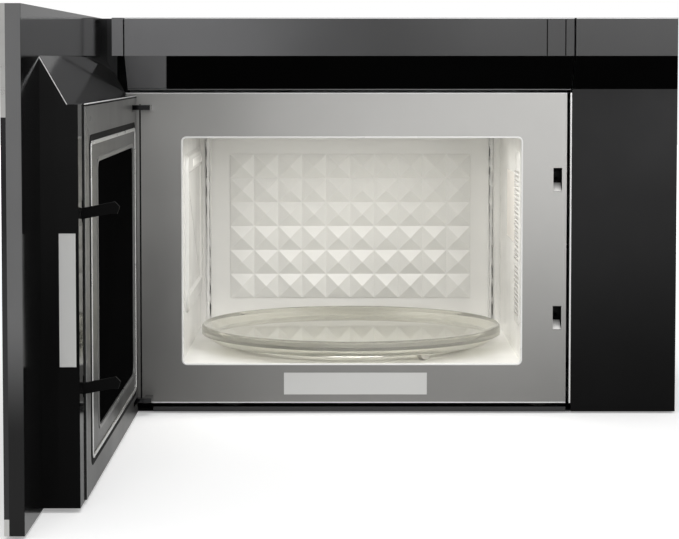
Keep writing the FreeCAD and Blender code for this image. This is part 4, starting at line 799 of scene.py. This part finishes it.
# painted shadow: a dark strip on the plate where the door's hinge end meets it
thin_strip("hinge_painted_shadow", (-0.2572, plate_y - 0.0003, plate_low.z + 0.004),
           (-0.2556, plate_y + 0.0005, plate_high.z - 0.012), dark_joints_and_painted_shade)
thin_strip("cap_joint", (fascia_high.x - 0.0006, front_y - JOINT_PROUD, BAND_LOW_Z),
           (fascia_high.x + 0.0003, front_y + STRIP_DEPTH, top_z), dark_joints_and_painted_shade)
for name, foot_z in (("plate_head_highlight", plate_high.z - PLATE_LINE), ("plate_foot_highlight", plate_low.z)):
    thin_strip(name, (plate_low.x + PLATE_LINE_START, plate_y - PLATE_LINE_PROUD, foot_z),
               (plate_high.x, plate_y + STRIP_DEPTH, foot_z + PLATE_LINE), edge_painted_highlight)

# %% [markdown]
# Above the oven the case lets warm air out through a slot in its top, and that
# slot is crossed by thin bars.  Under the case each grease filter is a mesh in
# a bent frame.

# %% Bars over the outlet, and frames round the filters
case_low, case_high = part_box("outer_wrapper")
OUTLET_SETBACK = 0.051
BAR_WIDTH, BAR_LENGTH, BAR_DEPTH, BAR_SUNK = 0.0022, 0.026, 0.004, 0.0004
BAR_START_X, BAR_PITCH, BAR_COUNT = -0.146, 0.0081, 37
bars = flat_start("outlet_bars", (BAR_START_X, case_low.y + OUTLET_SETBACK, case_high.z - BAR_SUNK),
                  BAR_WIDTH, BAR_LENGTH, "up")
bpy.ops.object.mode_set(mode="EDIT")
thicken((0, 0, -BAR_DEPTH))
bpy.ops.object.mode_set(mode="OBJECT")
in_rows(bars, BAR_COUNT, (BAR_PITCH, 0, 0))
apply_modifiers(bars)
soften(bars, 0.0004, 1)
hand_over(bars, "cabinet", case_paint)

FILTER_INSET = 0.0004
for side in ("left", "right"):
    filter_low, filter_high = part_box("grease_filter_" + side)
    middle, size = (filter_low + filter_high) / 2, filter_high - filter_low
    bead("filter_frame_" + side, (middle.x, middle.y, filter_low.z + FILTER_INSET),
         size.x - FILTER_INSET, size.y - FILTER_INSET, "down",
         corner=0.006, rim=0.009, depth=0.0016, edge=0.0005,
         body="filter_" + side, finish=aluminium_fins)

# %% [markdown]
# ## Floor, light and camera
# A product is shown on a plain pale floor, in the soft light of large lamps.
# Large lamps make soft edges on the shadow and long clean reflections in the
# black gloss.  The world is grey to the pieces, and white to the eye, and the
# floor gets whiter with the distance from the part, so that no horizon shows.

# %% Floor and white surroundings
FLOOR_SIZE, FLOOR_GAP, FLOOR_TONE = 14, 0.002, 0.80
FLOOR_NEAR, FLOOR_FAR = 1.0, 3.5
GLOW_NEAR, GLOW_FAR = 0.3, 1.0
AMBIENT = 0.50

bpy.ops.mesh.primitive_plane_add(size=FLOOR_SIZE, location=(0, 0, cad_low.z - FLOOR_GAP))
floor = bpy.context.object
floor.name = "studio_floor"
floor_material, floor_tree, floor_shader = new_finish("floor_white", (FLOOR_TONE,) * 3, 0.9)
floor_shader.inputs["Specular IOR Level"].default_value = 0.0
path = floor_tree.nodes.new("ShaderNodeLightPath")
seen = floor_tree.nodes.new("ShaderNodeMath")
seen.operation = "MAXIMUM"
floor_tree.links.new(path.outputs["Is Camera Ray"], seen.inputs[0])
floor_tree.links.new(path.outputs["Is Transmission Ray"], seen.inputs[1])
floor_place = floor_tree.nodes.new("ShaderNodeTexCoord")
distance = floor_tree.nodes.new("ShaderNodeVectorMath")
distance.operation = "LENGTH"
floor_tree.links.new(floor_place.outputs["Object"], distance.inputs[0])
away = floor_tree.nodes.new("ShaderNodeMapRange")
away.inputs["From Min"].default_value = FLOOR_NEAR
away.inputs["From Max"].default_value = FLOOR_FAR
away.inputs["To Min"].default_value = GLOW_NEAR
away.inputs["To Max"].default_value = GLOW_FAR
floor_tree.links.new(distance.outputs["Value"], away.inputs["Value"])
lift = floor_tree.nodes.new("ShaderNodeMath")
lift.operation = "MULTIPLY"
floor_tree.links.new(away.outputs["Result"], lift.inputs[1])
floor_tree.links.new(seen.outputs[0], lift.inputs[0])
floor_shader.inputs["Emission Color"].default_value = (1, 1, 1, 1)
floor_tree.links.new(lift.outputs[0], floor_shader.inputs["Emission Strength"])
floor.data.materials.append(floor_material)

world = bpy.data.worlds.new("studio")
bpy.context.scene.world = world
world.use_nodes = True
sky = world.node_tree
ambient = sky.nodes["Background"]
ambient.inputs["Color"].default_value = (1, 1, 1, 1)
ambient.inputs["Strength"].default_value = AMBIENT
white = sky.nodes.new("ShaderNodeBackground")
white.inputs["Color"].default_value = (1, 1, 1, 1)
white.inputs["Strength"].default_value = 1.0
rays = sky.nodes.new("ShaderNodeLightPath")
choose = sky.nodes.new("ShaderNodeMixShader")
sky.links.new(rays.outputs["Is Camera Ray"], choose.inputs["Fac"])
sky.links.new(ambient.outputs["Background"], choose.inputs[1])
sky.links.new(white.outputs["Background"], choose.inputs[2])
sky.links.new(choose.outputs["Shader"], sky.nodes["World Output"].inputs["Surface"])
print("floor at", round(floor.location.z, 4))

# %% Lamps
def soft_lamp(name, place, aim, width, height, power, colour=(1, 1, 1)):
    """A large lamp at one place that shines towards another, with its power in watts."""
    data = bpy.data.lights.new(name, "AREA")
    data.shape = "RECTANGLE"
    data.size, data.size_y = width, height
    data.energy = power
    data.color = colour
    lamp = bpy.data.objects.new(name, data)
    bpy.context.scene.collection.objects.link(lamp)
    lamp.location = place
    lamp.rotation_euler = (Vector(aim) - Vector(place)).to_track_quat("-Z", "Y").to_euler()
    return lamp


OVEN_LAMP_Y, OVEN_LAMP_Z, OVEN_FLOOR_Z = -0.245, 0.080, -0.15
soft_lamp("key_above", (0.3, -1.6, 2.4), (0, -0.3, 0), 2.4, 1.8, power=38)
soft_lamp("fill_front", (0.9, -3.4, 1.0), (0, -0.3, 0), 1.8, 1.8, power=22)
soft_lamp("fill_rear", (-0.6, 2.6, 1.8), (0, -0.2, 0), 2.0, 1.6, power=26)
soft_lamp("oven_lamp", (MOUTH_X, OVEN_LAMP_Y, OVEN_LAMP_Z), (MOUTH_X, OVEN_LAMP_Y, OVEN_FLOOR_Z),
          0.28, 0.20, power=0.50, colour=(1.0, 0.985, 0.955))

# %% [markdown]
# The camera stands in front of the middle of the oven, a little above it, and
# 2.2 metres from the front plate.  A photographer keeps the back of the camera
# upright and shifts the lens down, which keeps upright edges upright.  Here a
# small shift is joined to a small tilt, so that other views stay in the frame.

# %% Camera
PHOTO_WIDTH = 679
FOCAL_PIXELS = 2131.88
LENS_SHIFT = -0.12
LENS_TILT = 0.05837
CAMERA_PLACE = (-0.04838, -2.58964, 0.15915)
SENSOR_WIDTH = 36

camera_data = bpy.data.cameras.new("camera")
camera = bpy.data.objects.new("camera", camera_data)
bpy.context.scene.collection.objects.link(camera)
camera_data.sensor_width = SENSOR_WIDTH
camera_data.lens = FOCAL_PIXELS / PHOTO_WIDTH * camera_data.sensor_width
camera_data.shift_y = LENS_SHIFT
camera_data.clip_start = 0.05
camera.location = CAMERA_PLACE
camera.rotation_euler = (math.radians(90) - LENS_TILT, 0, 0)
bpy.context.scene.camera = camera
bpy.context.scene.view_settings.view_transform = "Standard"
print("lens", round(camera_data.lens, 1), "mm, tilt", round(math.degrees(LENS_TILT), 2), "degrees")
